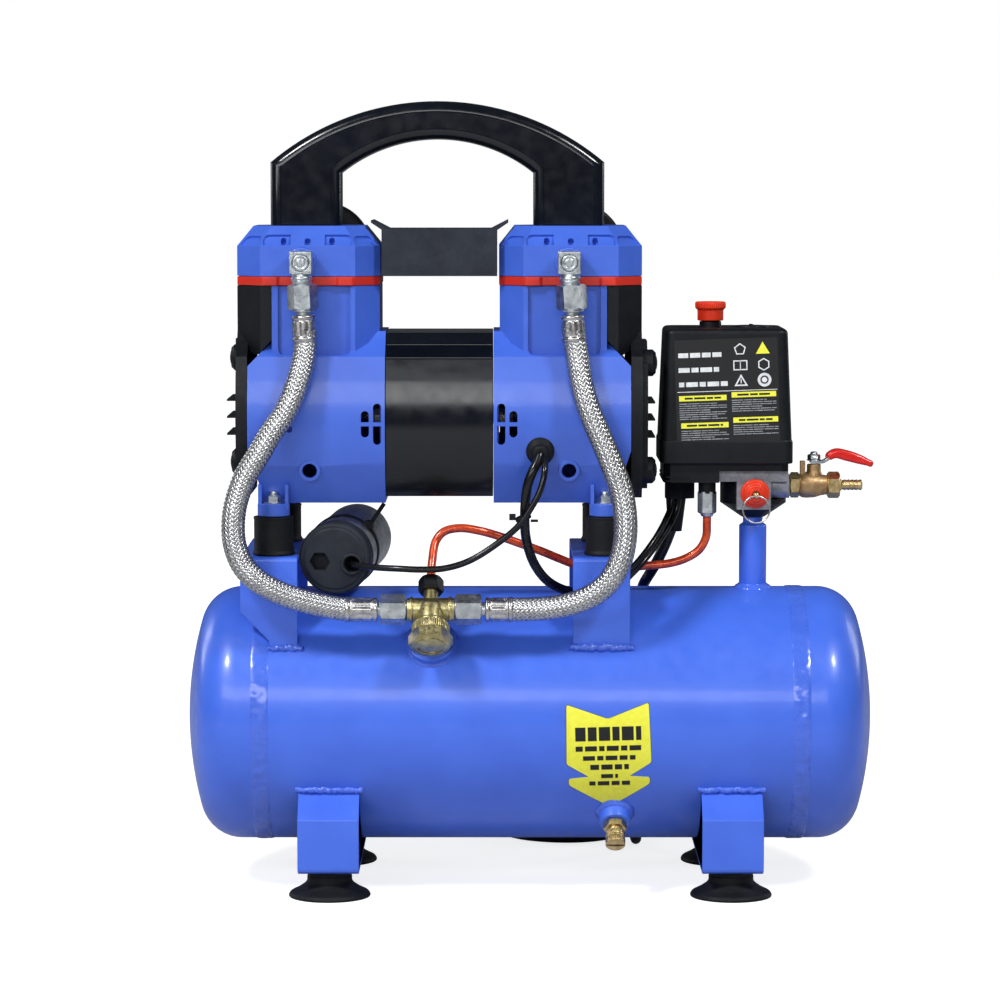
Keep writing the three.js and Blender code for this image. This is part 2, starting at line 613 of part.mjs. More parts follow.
// A carrying handle: two posts on the heads under a shallow arch.
function handle() {
  const { outer, inner, shoulder, top, throat, arch, halfY, bevel } = HANDLE;
  const arcThrough = (half, low, high) => {
    const rise = high - low;
    const radius = (half ** 2 + rise ** 2) / (2 * rise);
    return { radius, centre: high - radius, angle: Math.asin(half / radius) };
  };
  const over = arcThrough(outer - bevel, shoulder - bevel, top - bevel);
  const under = arcThrough(inner + bevel, throat + bevel, arch + bevel);
  const foot = HEAD.top + GAP;
  const shape = new THREE.Shape();
  shape.moveTo(outer - bevel, foot + bevel);
  shape.lineTo(outer - bevel, shoulder - bevel);
  shape.absarc(0, over.centre, over.radius, Math.PI / 2 - over.angle, Math.PI / 2 + over.angle, false);
  shape.lineTo(-outer + bevel, foot + bevel);
  shape.lineTo(-inner - bevel, foot + bevel);
  shape.absarc(0, under.centre, under.radius, Math.PI / 2 + under.angle, Math.PI / 2 - under.angle, true);
  shape.lineTo(inner + bevel, foot + bevel);
  const geometry = new THREE.ExtrudeGeometry(shape, {
    depth: 2 * (halfY - bevel), bevelThickness: bevel, bevelSize: bevel, bevelSegments: 2, curveSegments: 10,
  });
  geometry.translate(0, 0, -(halfY - bevel));
  geometry.applyMatrix4(new THREE.Matrix4().makeBasis(X, Z, Y.clone().negate()));
  const trim = block(-200, 200, -40, 40, foot - 20, foot + bevel / 2);
  const pads = [-1, 1].map((side) => {
    const near = side * (inner + 0.8);
    const far = side * (outer - 0.8);
    return block(Math.min(near, far), Math.max(near, far), -halfY + 0.8, halfY - 0.8, foot, foot + bevel);
  });
  const pockets = [-1, 1].map((side) => {
    const near = side * (inner + 6);
    const far = side * (outer - 6);
    return block(Math.min(near, far), Math.max(near, far), -halfY + 5, halfY - 5, foot - 1, shoulder - 14);
  });
  const grip = cut(join(cut(solid(geometry), trim), ...pads), ...pockets);
  return mesh('handle', shift(grip, HANDLE.x, 0, 0), BLACK_GLOSS);
}

// An inverted channel of sheet between the heads, with a lifted tab over each of them.
function linkPlate() {
  const { half, y, bottom, top, sheet, tab, tabY } = LINK;
  const channel = cut(
    block(-half, half, -y, y, bottom, top),
    block(-half - 1, half + 1, -y + sheet, y - sheet, bottom - 1, top - sheet),
  );
  const lip = prism([
    [half - 8, top - sheet], [half - 2, top - sheet], [tab, top + 4], [tab, top + 5.6], [half - 4, top],
  ], 'y', -tabY, tabY);
  return mesh('link_plate', join(channel, lip, mirrorX(lip)), GREY_SHEET);
}

// ---------------------------------------------------------------- pipework and leads

// A point on the slightly leaning line of a hose's upper end, at a height.
function hoseTop({ elbowX, ferruleX }, z) {
  const ferruleZ = 353;
  return [elbowX + ((ferruleX - elbowX) * (ELBOW.z - z)) / (ELBOW.z - ferruleZ), HOSE.y, z];
}

// A square elbow screwed into the head, its blank end plugged, with a union cone below.
function hoseElbow(top) {
  const { size, front, back, z, stub } = ELBOW;
  const x = top.elbowX;
  const half = size / 2;
  return join(
    block(x - half, x + half, front, back, z - half, z + half),
    rod(stub, [x, back - 1, z], [x, -28, z], 20),
    rod(5.2, [x, front - 1.2, z], [x, front + 1, z], 20),
    rod(stub, [x, HOSE.y, z - half + 1], hoseTop(top, 381.2), 20),
  );
}

// A braided hose with its crimped ferrules and union nuts, from a head down to the check valve.
function braidedHose(route, top, tail) {
  const { radius, nut, ferrule, tailZ, tailY } = HOSE;
  const at = (x) => [x, tailY, tailZ];
  const side = Math.sign(tail.nut[1] - tail.nut[0]);
  return join(
    hexBar(nut, hoseTop(top, 380.4), hoseTop(top, 364.8)),
    rod(4.4, hoseTop(top, 366), hoseTop(top, 359), 12),
    rod(ferrule, hoseTop(top, 361.5), hoseTop(top, 346), 16),
    tube(route, radius, 8, 28),
    rod(ferrule, at(tail.ferrule[0]), at(tail.ferrule[1]), 16),
    rod(4.4, at(tail.ferrule[1] - side), at(tail.nut[0] + side), 12),
    hexBar(nut, at(tail.nut[0]), at(tail.nut[1])),
  );
}

const LEFT_HOSE_ROUTE = [
  [-139.2, -57, 352], [-139, -57, 343.5], [-140, -60, 333.4], [-142.3, -64, 323.8], [-146.4, -68, 311.9],
  [-152, -70, 300.4], [-159.4, -72, 289.6], [-168.1, -74, 274.9], [-175.4, -75, 262.9], [-179.2, -76, 253.2],
  [-181.7, -78, 243.5], [-182.7, -79, 232.3], [-181.6, -80, 221], [-176.7, -81, 208.9], [-168.7, -82, 200.3],
  [-156.4, -81, 192.8], [-144.8, -80, 188.2], [-129.8, -79, 184.2], [-117, -77.8, 181.8], [-108, -77.5, 181.2],
];

const RIGHT_HOSE_ROUTE = [
  [26.4, -57, 352], [27.4, -57, 345], [29.2, -60, 333.4], [31.4, -65, 319.5], [35.2, -69, 305.6],
  [40.3, -71, 293], [46.3, -73, 279.1], [51.9, -75, 265.1], [55.6, -76, 254.6], [57.6, -78, 243.5],
  [58.3, -80, 232], [57.4, -81, 221.6], [54.9, -82, 211.4], [48.6, -82, 199.4], [38.4, -81, 190.6],
  [24.8, -80, 184.9], [11, -78.4, 182.2], [-4, -77.6, 181.3], [-16, -77.5, 181.2],
];

// The check valve stands on the tank boss; its body lies across the boss's axis.
function checkValve() {
  const out = outOfTank(INLET.angle);
  const reach = TANK.radius + VALVE.reach;
  const centre = [INLET.x, out[1] * reach, TANK.z + out[2] * reach];
  const back = [0, out[2], -out[1]];
  const at = (s) => [centre[0], centre[1] + back[1] * s, centre[2] + back[2] * s];
  const down = (d) => [centre[0], centre[1] - out[1] * d, centre[2] - out[2] * d];
  const tee = at(VALVE.tee);
  const body = join(
    rod(VALVE.body, at(-4), at(20), 20),
    rod(VALVE.body, at(20), at(22.5), 20, 5.5),
    rod(5, at(22), at(26), 12),
    rod(VALVE.port, [tee[0] - VALVE.portHalf, tee[1], tee[2]], [tee[0] + VALVE.portHalf, tee[1], tee[2]], 16),
    rod(3.7, down(15), down(0), 12),
    rod(INLET.bore - GAP, down(VALVE.reach + 1), down(15), 16),
    hexBar(17, down(VALVE.reach - INLET.height - GAP), down(14)),
  );
  const capHex = (VALVE.cap * 2 * Math.sqrt(3)) / 2;
  const cap = join(hexBar(capHex, at(-20), at(-9)), rod(capHex / 2, at(-9.5), at(-3.5), 20));
  return { whole: join(body, cap), at };
}

// The copper line from the check valve to the switch, with the union nut at each end.
function unloaderTube(valveAt) {
  const { radius, x, y } = UNLOADER;
  const route = [
    valveAt(34), valveAt(40), [-60.6, -51, 214.6], [-58.6, -48, 221], [-53.6, -46, 226.4], [-44, -44.6, 228.4],
    [-31, -42.6, 226.4], [-18.8, -40, 222.7], [-6, -37, 217.9], [6.3, -34, 213.2], [17, -30, 208.4],
    [27.1, -26, 204.1], [37.6, -22.4, 201.2], [48.7, -20, 200.2], [70.7, -20, 202.1], [88.4, -20, 204],
    [98.5, -20, 207.2], [106.6, -20, 212.6], [110.8, -20, 220.6], [x, y, 229], [x, y, 237],
  ];
  return join(
    tube(route, radius, 8, 34),
    hexBar(13.6, valveAt(26 + GAP), valveAt(36)),
    rod(4.4, valveAt(35), valveAt(38), 12),
    hexBar(11.5, [x, y, 235.2], [x, y, 248]),
  );
}

function capacitor() {
  const { radius, can, boot, length } = CAPACITOR;
  const profile = [
    [0, 0], [radius - 2, 0], [radius, 2], [radius, boot], [can, boot],
    [can, length - 2], [can - 2, length], [0, length],
  ];
  const whole = cut(
    turned(profile, [0, 0, 0], [0, 1, 0], 28),
    hexBar(11.3, [-9.2, -1, -1.8], [-9.2, 9, -1.8]),
    rod(5, [11.1, -1, -3], [11.1, 12, -3], 16),
  );
  const made = mesh('capacitor', whole, BLACK_MATTE);
  made.position.set(CAPACITOR.x, CAPACITOR.y, CAPACITOR.z);
  made.rotation.z = -radians(CAPACITOR.yaw);
  return made;
}

// The motor's grommet, its sheathed lead that splits into two cores, and the capacitor's lead.
function motorLeads() {
  const face = [6, -55.6, 277.3];
  const outward = [0, -0.99, -0.136];
  const step = (d) => face.map((value, k) => value + outward[k] * d);
  const motor = [
    step(-6), step(6), [4.6, -64.4, 272], [1.2, -67, 265.4], [-1.6, -67, 258], [-3.2, -65, 247],
    [-3.6, -61, 235], [-2.4, -55, 221.3], [3, -48, 205.4], [12.5, -40, 193.6], [26.4, -34.6, 187.2],
    [41, -33, 187], [50, -33, 188.6],
  ];
  const upperCore = [
    [46, -34.4, 188.6], [54, -33.6, 192.6], [60, -32.4, 198.2], [66.6, -30.6, 205], [72, -28, 211.2],
    [76.8, -24, 217.2], [81.7, -18, 224], [85.9, -11, 231], [88.8, -6, 237], [90, -4, 242.4],
  ];
  const lowerCore = [
    [46, -31.6, 187.6], [57, -31.6, 192.2], [64.1, -30.4, 198.4], [68.9, -28.6, 203.2], [74.2, -24, 208.9],
    [80.1, -17, 215.4], [86.1, -9, 223], [90.4, -4, 230], [93.2, -1.4, 236.6], [94.4, -1, 242.4],
  ];
  const capacitorLead = [
    step(0), [8.2, -62, 273.4], [8.6, -68.4, 266], [5.8, -71, 254], [0, -71.6, 243], [-7.1, -71.2, 232.7],
    [-18.8, -69, 222.4], [-37.4, -69, 210.1], [-52.8, -71, 204.5], [-68.1, -72, 203.8], [-80.5, -70, 204.2],
    [-93.1, -64, 204.6], [-102, -57, 206], [-107.4, -50.6, 207.4], [-108.4, -42, 207.6],
  ];
  const collar = [[0, GAP + 0.1], [8.8, GAP + 0.1], [8.4, 2.4], [5.2, 4.4], [4, 8], [0, 8]];
  const flange = turned(collar, step(0), outward, 20);
  return join(
    flange,
    rod(6.5, step(-5), step(1), 16),
    tube(motor, LEAD.motor, LEAD.sides, 22),
    tube(upperCore, LEAD.core, LEAD.sides, 10),
    tube(lowerCore, LEAD.core, LEAD.sides, 10),
    tube(capacitorLead, LEAD.capacitor, LEAD.sides, 26),
    block(88.8, 95.6, -5.2, 0.2, 241.4, 243.3),
  );
}

// The mains lead runs down behind the tank and curves out along the floor to its coil.
function mainsCordRoute() {
  const route = [
    [93, 5.5, 243.2], [92.7, 5.5, 236], [91, 5.8, 226.4], [87.6, 6.8, 216.4], [83.8, 8.4, 207.4],
    [80, 10.8, 199.6], [76.8, 15, 193.6],
  ];
  const over = TANK.radius + CORD.radius + 1.2;
  for (const [angle, x] of [[17, 74.4], [28, 73], [40, 72.3], [53, 72], [67, 72], [81, 72]]) {
    const a = radians(angle);
    route.push([x, over * Math.sin(a), TANK.z + over * Math.cos(a)]);
  }
  const bend = 34;
  const x = COIL.x + COIL.turn + COIL.band - CORD.radius;
  const floorY = over + 0.6 + bend;
  const floorZ = CORD.radius + 0.15;
  route.push([x, floorY - bend, 74]);
  for (const angle of [0, 30, 60, 90]) {
    const a = radians(angle);
    route.push([x, floorY - bend * Math.cos(a), floorZ + bend - bend * Math.sin(a)]);
  }
  const outer = COIL.turn + COIL.band;
  route.push([x, COIL.y - Math.sqrt(outer ** 2 - (outer - 2 * CORD.radius) ** 2) - 2 * GAP, floorZ]);
  return route;
}

function mainsCord() {
  const band = chamferedBox(COIL.turn, COIL.height / 2, COIL.band, COIL.height / 2, 3);
  const coil = turned([...band, band[0]], [COIL.x, COIL.y, 0], [0, 0, 1], 24);
  const { relief, body, halfWidth, halfHeight, corner, pin, pinLength, pinSpacing } = PLUG;
  const y = COIL.y + COIL.turn + COIL.band - CORD.radius;
  const clear = COIL.turn + COIL.band + 1;
  const start = COIL.x - Math.sqrt(clear ** 2 - (y - CORD.radius - COIL.y) ** 2);
  const z = halfHeight;
  const nose = start - relief;
  const section = chamferedBox(y, z, halfWidth, halfHeight, corner);
  const plug = join(
    rod(CORD.radius + 1, [start, y, z], [nose - 1, y, z], 16, CORD.radius + 4),
    prism(section, 'x', nose - body, nose),
    ...[-pinSpacing / 2, pinSpacing / 2].map((off) =>
      rod(pin, [nose - body + 1, y + off, z], [nose - body - pinLength, y + off, z], 12)),
  );
  return [
    mesh('mains_cord', tube(mainsCordRoute(), CORD.radius, CORD.sides, 30), RUBBER),
    mesh('mains_coil', coil, RUBBER),
    mesh('mains_plug', plug, BLACK_MATTE),
  ];
}

function pipework() {
  const valve = checkValve();
  return [
    mesh('hose_elbow_left', hoseElbow(HOSE_TOP.left), STEEL),
    mesh('hose_elbow_right', hoseElbow(HOSE_TOP.right), STEEL),
    mesh('braided_hose_left', braidedHose(LEFT_HOSE_ROUTE, HOSE_TOP.left, HOSE_TAIL.left), STEEL),
    mesh('braided_hose_right', braidedHose(RIGHT_HOSE_ROUTE, HOSE_TOP.right, HOSE_TAIL.right), STEEL),
    mesh('check_valve', valve.whole, BRASS),
    mesh('unloader_tube', unloaderTube(valve.at), COPPER_LACQUER),
    capacitor(),
    mesh('motor_leads', motorLeads(), RUBBER),
    ...mainsCord(),
  ];
}

// ---------------------------------------------------------------- pressure switch and outlet

// The base: a shallow tub on the diaphragm housing, with the cable gland and the unloader's port.
function switchBase() {
  const tub = prism(chamferedBox(COVER.x, 0, 39.1, 30.5, 4), 'z', 5.5, SKIRT.bottom - GAP);
  const dome = turned([[0, -18.2], [7.4, -18.2], [20.9, -9], [20.9, 6], [0, 6]], [0, 0, 0], [0, 0, 1], 28);
  const notch = join(
    block(-23.1, 20.8, -45, -4.7, 5.4, 12.8),
    block(-12.1, 9.9, -45, -4.7, -12.2, 6),
    block(5, 30, -45, -4.7, -6.1, 6),
  );
  const glandX = GLAND.x - SWITCH.x;
  const portX = UNLOADER.x - SWITCH.x;
  const gland = hexBar(GLAND.flats, [glandX, GLAND.y, GLAND.bottom - SWITCH.z], [glandX, GLAND.y, 6]);
  const port = rod(5.5, [portX, UNLOADER.y, 248.3 - SWITCH.z], [portX, UNLOADER.y, 6.5], 16);
  const socket = rod(POST.neck + GAP, [0, 0, -30], [0, 0, POST.neckTop + GAP - SWITCH.z], 20);
  return mesh('switch_base', join(cut(join(tub, dome), notch, socket), gland, port), BLACK_MATTE);
}

function switchCover() {
  const { x, halfX, halfY, bottom, top, draft, wall, bevel } = COVER;
  const lean = (piece) => piece.warp((p) => {
    if (p[2] > bottom + 1) return;
    p[0] += Math.sign(p[0] - x) * draft;
    p[1] += Math.sign(p[1]) * draft * 0.6;
  });
  const shell = lean(prism(chamferedBox(x, 0, halfX, halfY, bevel), 'z', bottom, top));
  const skirt = prism(chamferedBox(x, 0, SKIRT.halfX, SKIRT.halfY, bevel), 'z', SKIRT.bottom, SKIRT.top + 0.5);
  const inside = chamferedBox(x, 0, halfX - wall, halfY - wall, bevel);
  const hollow = prism(inside, 'z', SKIRT.bottom - 1, top - wall);
  const collar = rod(KNOB.collar, [KNOB.x, 0, top - 1], [KNOB.x, 0, top + 3.7], 24);
  const dialAt = (z) => [-1.5, 0, z];
  const dialRing = rod(15.5, dialAt(top - 1), dialAt(top + 1), 24);
  const dial = cut(dialRing, rod(13.8, dialAt(top), dialAt(top + 4), 24));
  return mesh('switch_cover', cut(
    join(cut(join(shell, skirt), hollow), collar, dial),
    rod(KNOB.stem + GAP + 0.2, [KNOB.x, 0, top - 10], [KNOB.x, 0, top + 10], 20),
  ), BLACK_MATTE);
}

// The on-off knob: its skirt slides down over the collar when it is pushed.
function switchKnob() {
  const { body, flange, collar, stem } = KNOB;
  const profile = [
    [0, 12], [flange - 1, 12], [flange, 11], [flange, 7.5], [body, 6], [body, 0],
    [collar + 0.6, 0], [collar + 0.6, 4.6],
    [stem, 4.6], [stem, -14], [0, -14],
  ];
  const knob = mesh('switch_knob', turned(profile, [0, 0, 0], [0, 0, 1], 18), RED);
  knob.position.set(KNOB.x, 0, COVER.top + 4);
  return knob;
}

function manifoldBlock() {
  const { y, z } = OUTLET;
  return mesh('manifold_block', cut(
    join(
      block(-22.8, 20.5, -25, -5, 5.8, 12.5),
      block(-11.8, 9.6, -25, -5, -11.8, 7),
      rod(6, [5, y, z], [22, y, z], 20),
    ),
    rod(4.4, [0, y, z], [40, y, z], 16),
    rod(5, [SAFETY.x, -40, SAFETY.z], [SAFETY.x, -12, SAFETY.z], 16),
  ), ALUMINIUM);
}

function ballValve() {
  const { y, z } = OUTLET;
  const at = (x) => [x, y, z];
  const stemAt = (height) => [LEVER.x, y, z + height];
  const body = cut(
    join(
      rod(4.1, at(8), at(24), 16),
      hexBar(14.1, at(22 + GAP), at(28.3)),
      rod(7.9, at(28), at(38.5), 20),
      rod(7.9, at(38.5), at(46.5), 20, 6),
      hexBar(14.6, at(45.9), at(53.8)),
      rod(3.45, at(53.5), at(69.9), 16),
      rod(4.6, stemAt(5), stemAt(LEVER.seat), 16, 3.9),
      block(28.8, 31.9, y - 3, y + 3, z + 6, z + 17.5),
    ),
    rod(2.1, at(2), at(80), 12),
  );
  const stem = rod(2.4, stemAt(LEVER.seat - 1), stemAt(LEVER.seat + 2), 12);
  return mesh('ball_valve_body', join(body, stem), BRASS);
}

// The quarter-turn lever: a nut on the stem, then a blade that rises and falls away over the barb.
function valveLever() {
  const { y, z } = OUTLET;
  const blade = prism([
    [-2, 0], [6, 0], [11, 4.6], [14.5, 5.2], [30, 0.6], [37.8, -2.6], [38.2, 0.6], [15.5, 8.4], [11, 8],
    [4.6, 1.8], [-2, 1.8],
  ], 'y', -4.6, 4.6);
  const lever = cut(
    join(blade, rod(4, [0, 0, 0], [0, 0, 5], 16), rod(4, [0, 0, 5], [0, 0, 7.4], 16, 1.6)),
    rod(2.4 + GAP, [0, 0, -2], [0, 0, 2.4], 12),
  );
  const made = mesh('valve_lever', lever, RED);
  made.position.set(LEVER.x, y, z + LEVER.seat + GAP);
  return made;
}

function safetyValve() {
  const { x, z, radius, front } = SAFETY;
  const bore = 2.4;
  const body = turned([
    [bore, -16], [4.7, -16], [4.7, -25.3], [radius, -25.3], [radius, -29], [radius - 1.2, -30],
    [radius - 1.2, -32], [radius - 2.4, -33], [radius - 2.4, -35], [radius - 4, -36], [radius - 4, front],
    [bore, front], [bore, -16],
  ], [x, 0, z], [0, 1, 0], 16);
  const eyeY = front - 3;
  const pin = cut(
    join(
      rod(bore - 0.5, [x, -20, z], [x, eyeY + 1.6, z], 12),
      rod(2.2, [x - 1.2, eyeY, z], [x + 1.2, eyeY, z], 16),
    ),
    rod(1.1, [x - 4, eyeY, z], [x + 4, eyeY, z], 12),
  );
  const ringRadius = 8.4;
  const wire = 0.55;
  const torus = solid(new THREE.TorusGeometry(ringRadius, wire, 5, 20).rotateX(Math.PI / 2));
  return [
    mesh('safety_valve', body, RED),
    mesh('safety_pin', pin, BRASS),
    mesh('safety_ring', shift(torus, x, eyeY, z - ringRadius - 0.4), STEEL),
  ];
}

// ---------------------------------------------------------------- assembly

function rubberMounts() {
  const { y, radius, waist, top } = MOUNT;
  const low = SADDLE.top + GAP;
  const mount = turned([
    [0, low], [radius + 0.6, low], [waist, low + 2], [waist, top - 1], [radius, top], [0, top],
  ], [0, 0, 0], [0, 0, 1], 18);
  const mounts = [];
  for (const [side, sign] of [['left', -1], ['right', 1]]) {
    for (const [face, way] of [['front', -1], ['rear', 1]]) {
      const placed = shift(mount, PUMP.x + sign * LUG.u, way * y, 0);
      mounts.push(mesh(`rubber_mount_${face}_${side}`, placed, RUBBER));
    }
  }
  return mounts;
}

const tank = groupAt(0, 0, TANK.z, [
  tankShell(), ...tankEnds(), ...footStraps(), ...suctionFeet(), ...saddles(), ...drainCock(),
]);
const pump = groupAt(PUMP.x, 0, PUMP.z, [
  ...pumpHousings(), statorCover(), statorCore(), ...bearings(), rotor(), ...fans(), ...pistonRods(),
  ...cylinderSleeves(), ...valvePlates(), ...cylinderHeads(), ...airFilters(), ...endCovers(),
  handle(), linkPlate(),
]);
const switchgear = groupAt(SWITCH.x, 0, SWITCH.z, [
  switchBase(), switchCover(), switchKnob(), manifoldBlock(), ballValve(), valveLever(), ...safetyValve(),
]);

const compressor = groupAt(...LAYOUT_TO_ORIGIN, [tank, pump, switchgear, ...rubberMounts(), ...pipework()]);

export default compressor;
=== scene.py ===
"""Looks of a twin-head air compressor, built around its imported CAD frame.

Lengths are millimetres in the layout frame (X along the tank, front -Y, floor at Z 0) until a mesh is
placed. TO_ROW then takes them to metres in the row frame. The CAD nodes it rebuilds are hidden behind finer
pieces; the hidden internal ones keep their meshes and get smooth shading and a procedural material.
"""

import math

import bmesh
import bpy
from mathutils import Matrix, Vector, noise


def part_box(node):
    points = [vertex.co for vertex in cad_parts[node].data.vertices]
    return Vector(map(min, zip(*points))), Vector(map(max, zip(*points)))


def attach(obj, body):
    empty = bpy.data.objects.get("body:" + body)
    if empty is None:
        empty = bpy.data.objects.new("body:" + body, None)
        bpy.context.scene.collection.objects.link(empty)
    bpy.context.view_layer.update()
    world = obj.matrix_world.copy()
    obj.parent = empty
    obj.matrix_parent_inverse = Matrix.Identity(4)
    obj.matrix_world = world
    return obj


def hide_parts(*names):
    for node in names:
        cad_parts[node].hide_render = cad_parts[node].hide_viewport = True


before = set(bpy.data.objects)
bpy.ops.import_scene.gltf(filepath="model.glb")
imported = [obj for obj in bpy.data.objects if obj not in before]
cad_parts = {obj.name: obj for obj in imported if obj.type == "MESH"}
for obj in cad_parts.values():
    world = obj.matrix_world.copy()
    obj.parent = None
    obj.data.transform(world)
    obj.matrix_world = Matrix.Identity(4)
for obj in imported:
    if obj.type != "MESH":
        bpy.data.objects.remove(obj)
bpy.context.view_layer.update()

# ------------------------------------------------------------------ driving dimensions

MM = 0.001
LAYOUT_TO_ORIGIN = Vector((-0.6, 8.83, 0.0))
TO_ROW = Matrix.Translation(LAYOUT_TO_ORIGIN * MM) @ Matrix.Scale(MM, 4)

TANK_R = 80.0
TANK_Z = 107.0
TANK_SEAM = 167.0
TANK_END = 216.0
TANK_CROWN = 220.0
TANK_KNUCKLE = 26.0
PUMP = Vector((-56.5, 0.0, 297.0))
HEAD_U = 81.5
SWITCH = Vector((141.5, 0.0, 250.0))
OUTLET = SWITCH + Vector((0.0, -12.0, 0.5))
OUTLET_LINE = OUTLET + Vector((0.0, 0.0, 2.3))
ELBOW_Z = 393.8
HOSE_Y = -57.0
HOSE_TAIL = (-77.5, 181.2)
CORD_R = 3.5


# ------------------------------------------------------------------ mesh tools

def on_circle(radius, angle):
    """The point on a circle at an angle in radians."""
    return (radius * math.cos(angle), radius * math.sin(angle))


def rounded(points, radius, steps=4, closed=False):
    """A 2D line with its corners turned into smooth curves that start up to radius before each corner."""
    result = []
    for i, here in enumerate(points):
        p = Vector(here)
        if not closed and i in (0, len(points) - 1):
            result.append(tuple(p))
            continue
        before = Vector(points[i - 1]) - p
        after = Vector(points[(i + 1) % len(points)]) - p
        back = min(radius, 0.48 * before.length, 0.48 * after.length)
        start = p + before.normalized() * back
        end = p + after.normalized() * back
        for k in range(steps + 1):
            t = k / steps
            result.append(tuple((1 - t) ** 2 * start + 2 * t * (1 - t) * p + t * t * end))
    return result


def arc(centre, radius, start, end, steps):
    """Points on an arc, its angles in degrees."""
    angles = [math.radians(start + (end - start) * i / steps) for i in range(steps + 1)]
    return [(centre[0] + radius * math.cos(a), centre[1] + radius * math.sin(a)) for a in angles]


def bridge(bm, a, b):
    """Faces between two rings of vertices; a ring may be a single point."""
    count = max(len(a), len(b))
    for i in range(count):
        j = (i + 1) % count
        corners = [a[i % len(a)], a[j % len(a)], b[j % len(b)], b[i % len(b)]]
        face = list(dict.fromkeys(corners))
        if len(face) > 2:
            bm.faces.new(face)


def loft(rings, caps=True):
    """A skin over rings of points that all have the same count, with flat ends."""
    bm = bmesh.new()
    made = [[bm.verts.new(p) for p in ring] for ring in rings]
    for low, high in zip(made, made[1:]):
        bridge(bm, low, high)
    if caps:
        bm.faces.new(made[0])
        bm.faces.new(made[-1])
    else:
        bridge(bm, made[-1], made[0])
    bmesh.ops.recalc_face_normals(bm, faces=bm.faces)
    return bm


def prism(outline, axis, low, high):
    """An outline pushed along an axis. It is drawn in (Y, Z), (X, Z) or (X, Y) for axis x, y or z."""
    place = {
        "x": lambda a, b, h: (h, a, b),
        "y": lambda a, b, h: (a, h, b),
        "z": lambda a, b, h: (a, b, h),
    }[axis]
    return loft([[place(a, b, h) for a, b in outline] for h in (low, high)])


def box(x0, x1, y0, y1, z0, z1):
    """A block between two corners."""
    return prism([(x0, y0), (x1, y0), (x1, y1), (x0, y1)], "z", z0, z1)


def aim(at, direction):
    """The matrix that takes +Z at the origin to a direction at a point."""
    turn = Vector((0, 0, 1)).rotation_difference(Vector(direction).normalized())
    return Matrix.Translation(Vector(at)) @ turn.to_matrix().to_4x4()


def lathe(profile, at=(0, 0, 0), direction=(0, 0, 1), segments=64, flutes=None):
    """A closed surface of revolution from (radius, height) points, which start and end on the axis or make a
    loop. flutes = (count, depth, low, high) presses grooves into the stretch between two heights."""
    to = aim(at, direction)
    bm = bmesh.new()
    rings = []
    for radius, height in profile:
        if radius < 1e-6:
            rings.append([bm.verts.new(to @ Vector((0, 0, height)))])
            continue
        ring = []
        for i in range(segments):
            angle = 2 * math.pi * i / segments
            r = radius
            if flutes and flutes[2] <= height <= flutes[3]:
                r -= flutes[1] * (0.5 - 0.5 * math.cos(flutes[0] * angle)) ** 2
            ring.append(bm.verts.new(to @ Vector((*on_circle(r, angle), height))))
        rings.append(ring)
    if profile[0][0] > 1e-6:
        rings.append(rings[0])
    for low, high in zip(rings, rings[1:]):
        bridge(bm, low, high)
    bmesh.ops.recalc_face_normals(bm, faces=bm.faces)
    return bm


def turned(profile, edge, steps, at=(0, 0, 0), direction=(0, 0, 1), segments=64, flutes=None):
    """A lathe whose profile has its corners eased first."""
    return lathe(rounded(profile, edge, steps), at, direction, segments, flutes)


def tube_section(inner, outer, low, high):
    """A ring's closed profile for lathe."""
    return [(inner, low), (outer, low), (outer, high), (inner, high), (inner, low)]


def disc_section(radius, low, high):
    """A disc's profile for lathe, from the axis to the axis."""
    return [(0, low), (radius, low), (radius, high), (0, high)]


def rod(radius, start, end, segments=40, end_radius=None, edge=0.3):
    """A bar between two points, with its rims eased by edge."""
    along = Vector(end) - Vector(start)
    length = along.length
    far = radius if end_radius is None else end_radius
    profile = [(0, 0), (radius, 0), (far, length), (0, length)]
    return lathe(rounded(profile, edge, 2) if edge else profile, start, along, segments)


def add(*parts):
    """Several meshes in one, side by side."""
    whole = bmesh.new()
    for part in parts:
        shell = bpy.data.meshes.new("part")
        part.to_mesh(shell)
        part.free()
        whole.from_mesh(shell)
        bpy.data.meshes.remove(shell)
    return whole


def mirrored(bm):
    """The same mesh on the other side of the plane X = 0."""
    bmesh.ops.transform(bm, matrix=Matrix.Diagonal((-1, 1, 1, 1)), verts=bm.verts)
    bmesh.ops.reverse_faces(bm, faces=bm.faces)
    return bm


def moved(bm, offset):
    """The same mesh, shifted."""
    bmesh.ops.translate(bm, vec=Vector(offset), verts=bm.verts)
    return bm


def boolean(base, tools, operation="DIFFERENCE"):
    """Cuts closed meshes out of a closed mesh, joins them to it or keeps what they share, one by one."""
    for tool in tools:
        pair = []
        for part in (base, tool):
            shell = bpy.data.meshes.new("solid")
            part.to_mesh(shell)
            part.free()
            holder = bpy.data.objects.new("solid", shell)
            bpy.context.scene.collection.objects.link(holder)
            pair.append(holder)
        modifier = pair[0].modifiers.new("cut", "BOOLEAN")
        modifier.operation = operation
        modifier.solver = "EXACT"
        modifier.object = pair[1]
        evaluated = pair[0].evaluated_get(bpy.context.evaluated_depsgraph_get())
        base = bmesh.new()
        base.from_mesh(evaluated.to_mesh())
        evaluated.to_mesh_clear()
        for holder in pair:
            shell = holder.data
            bpy.data.objects.remove(holder)
            bpy.data.meshes.remove(shell)
    return base


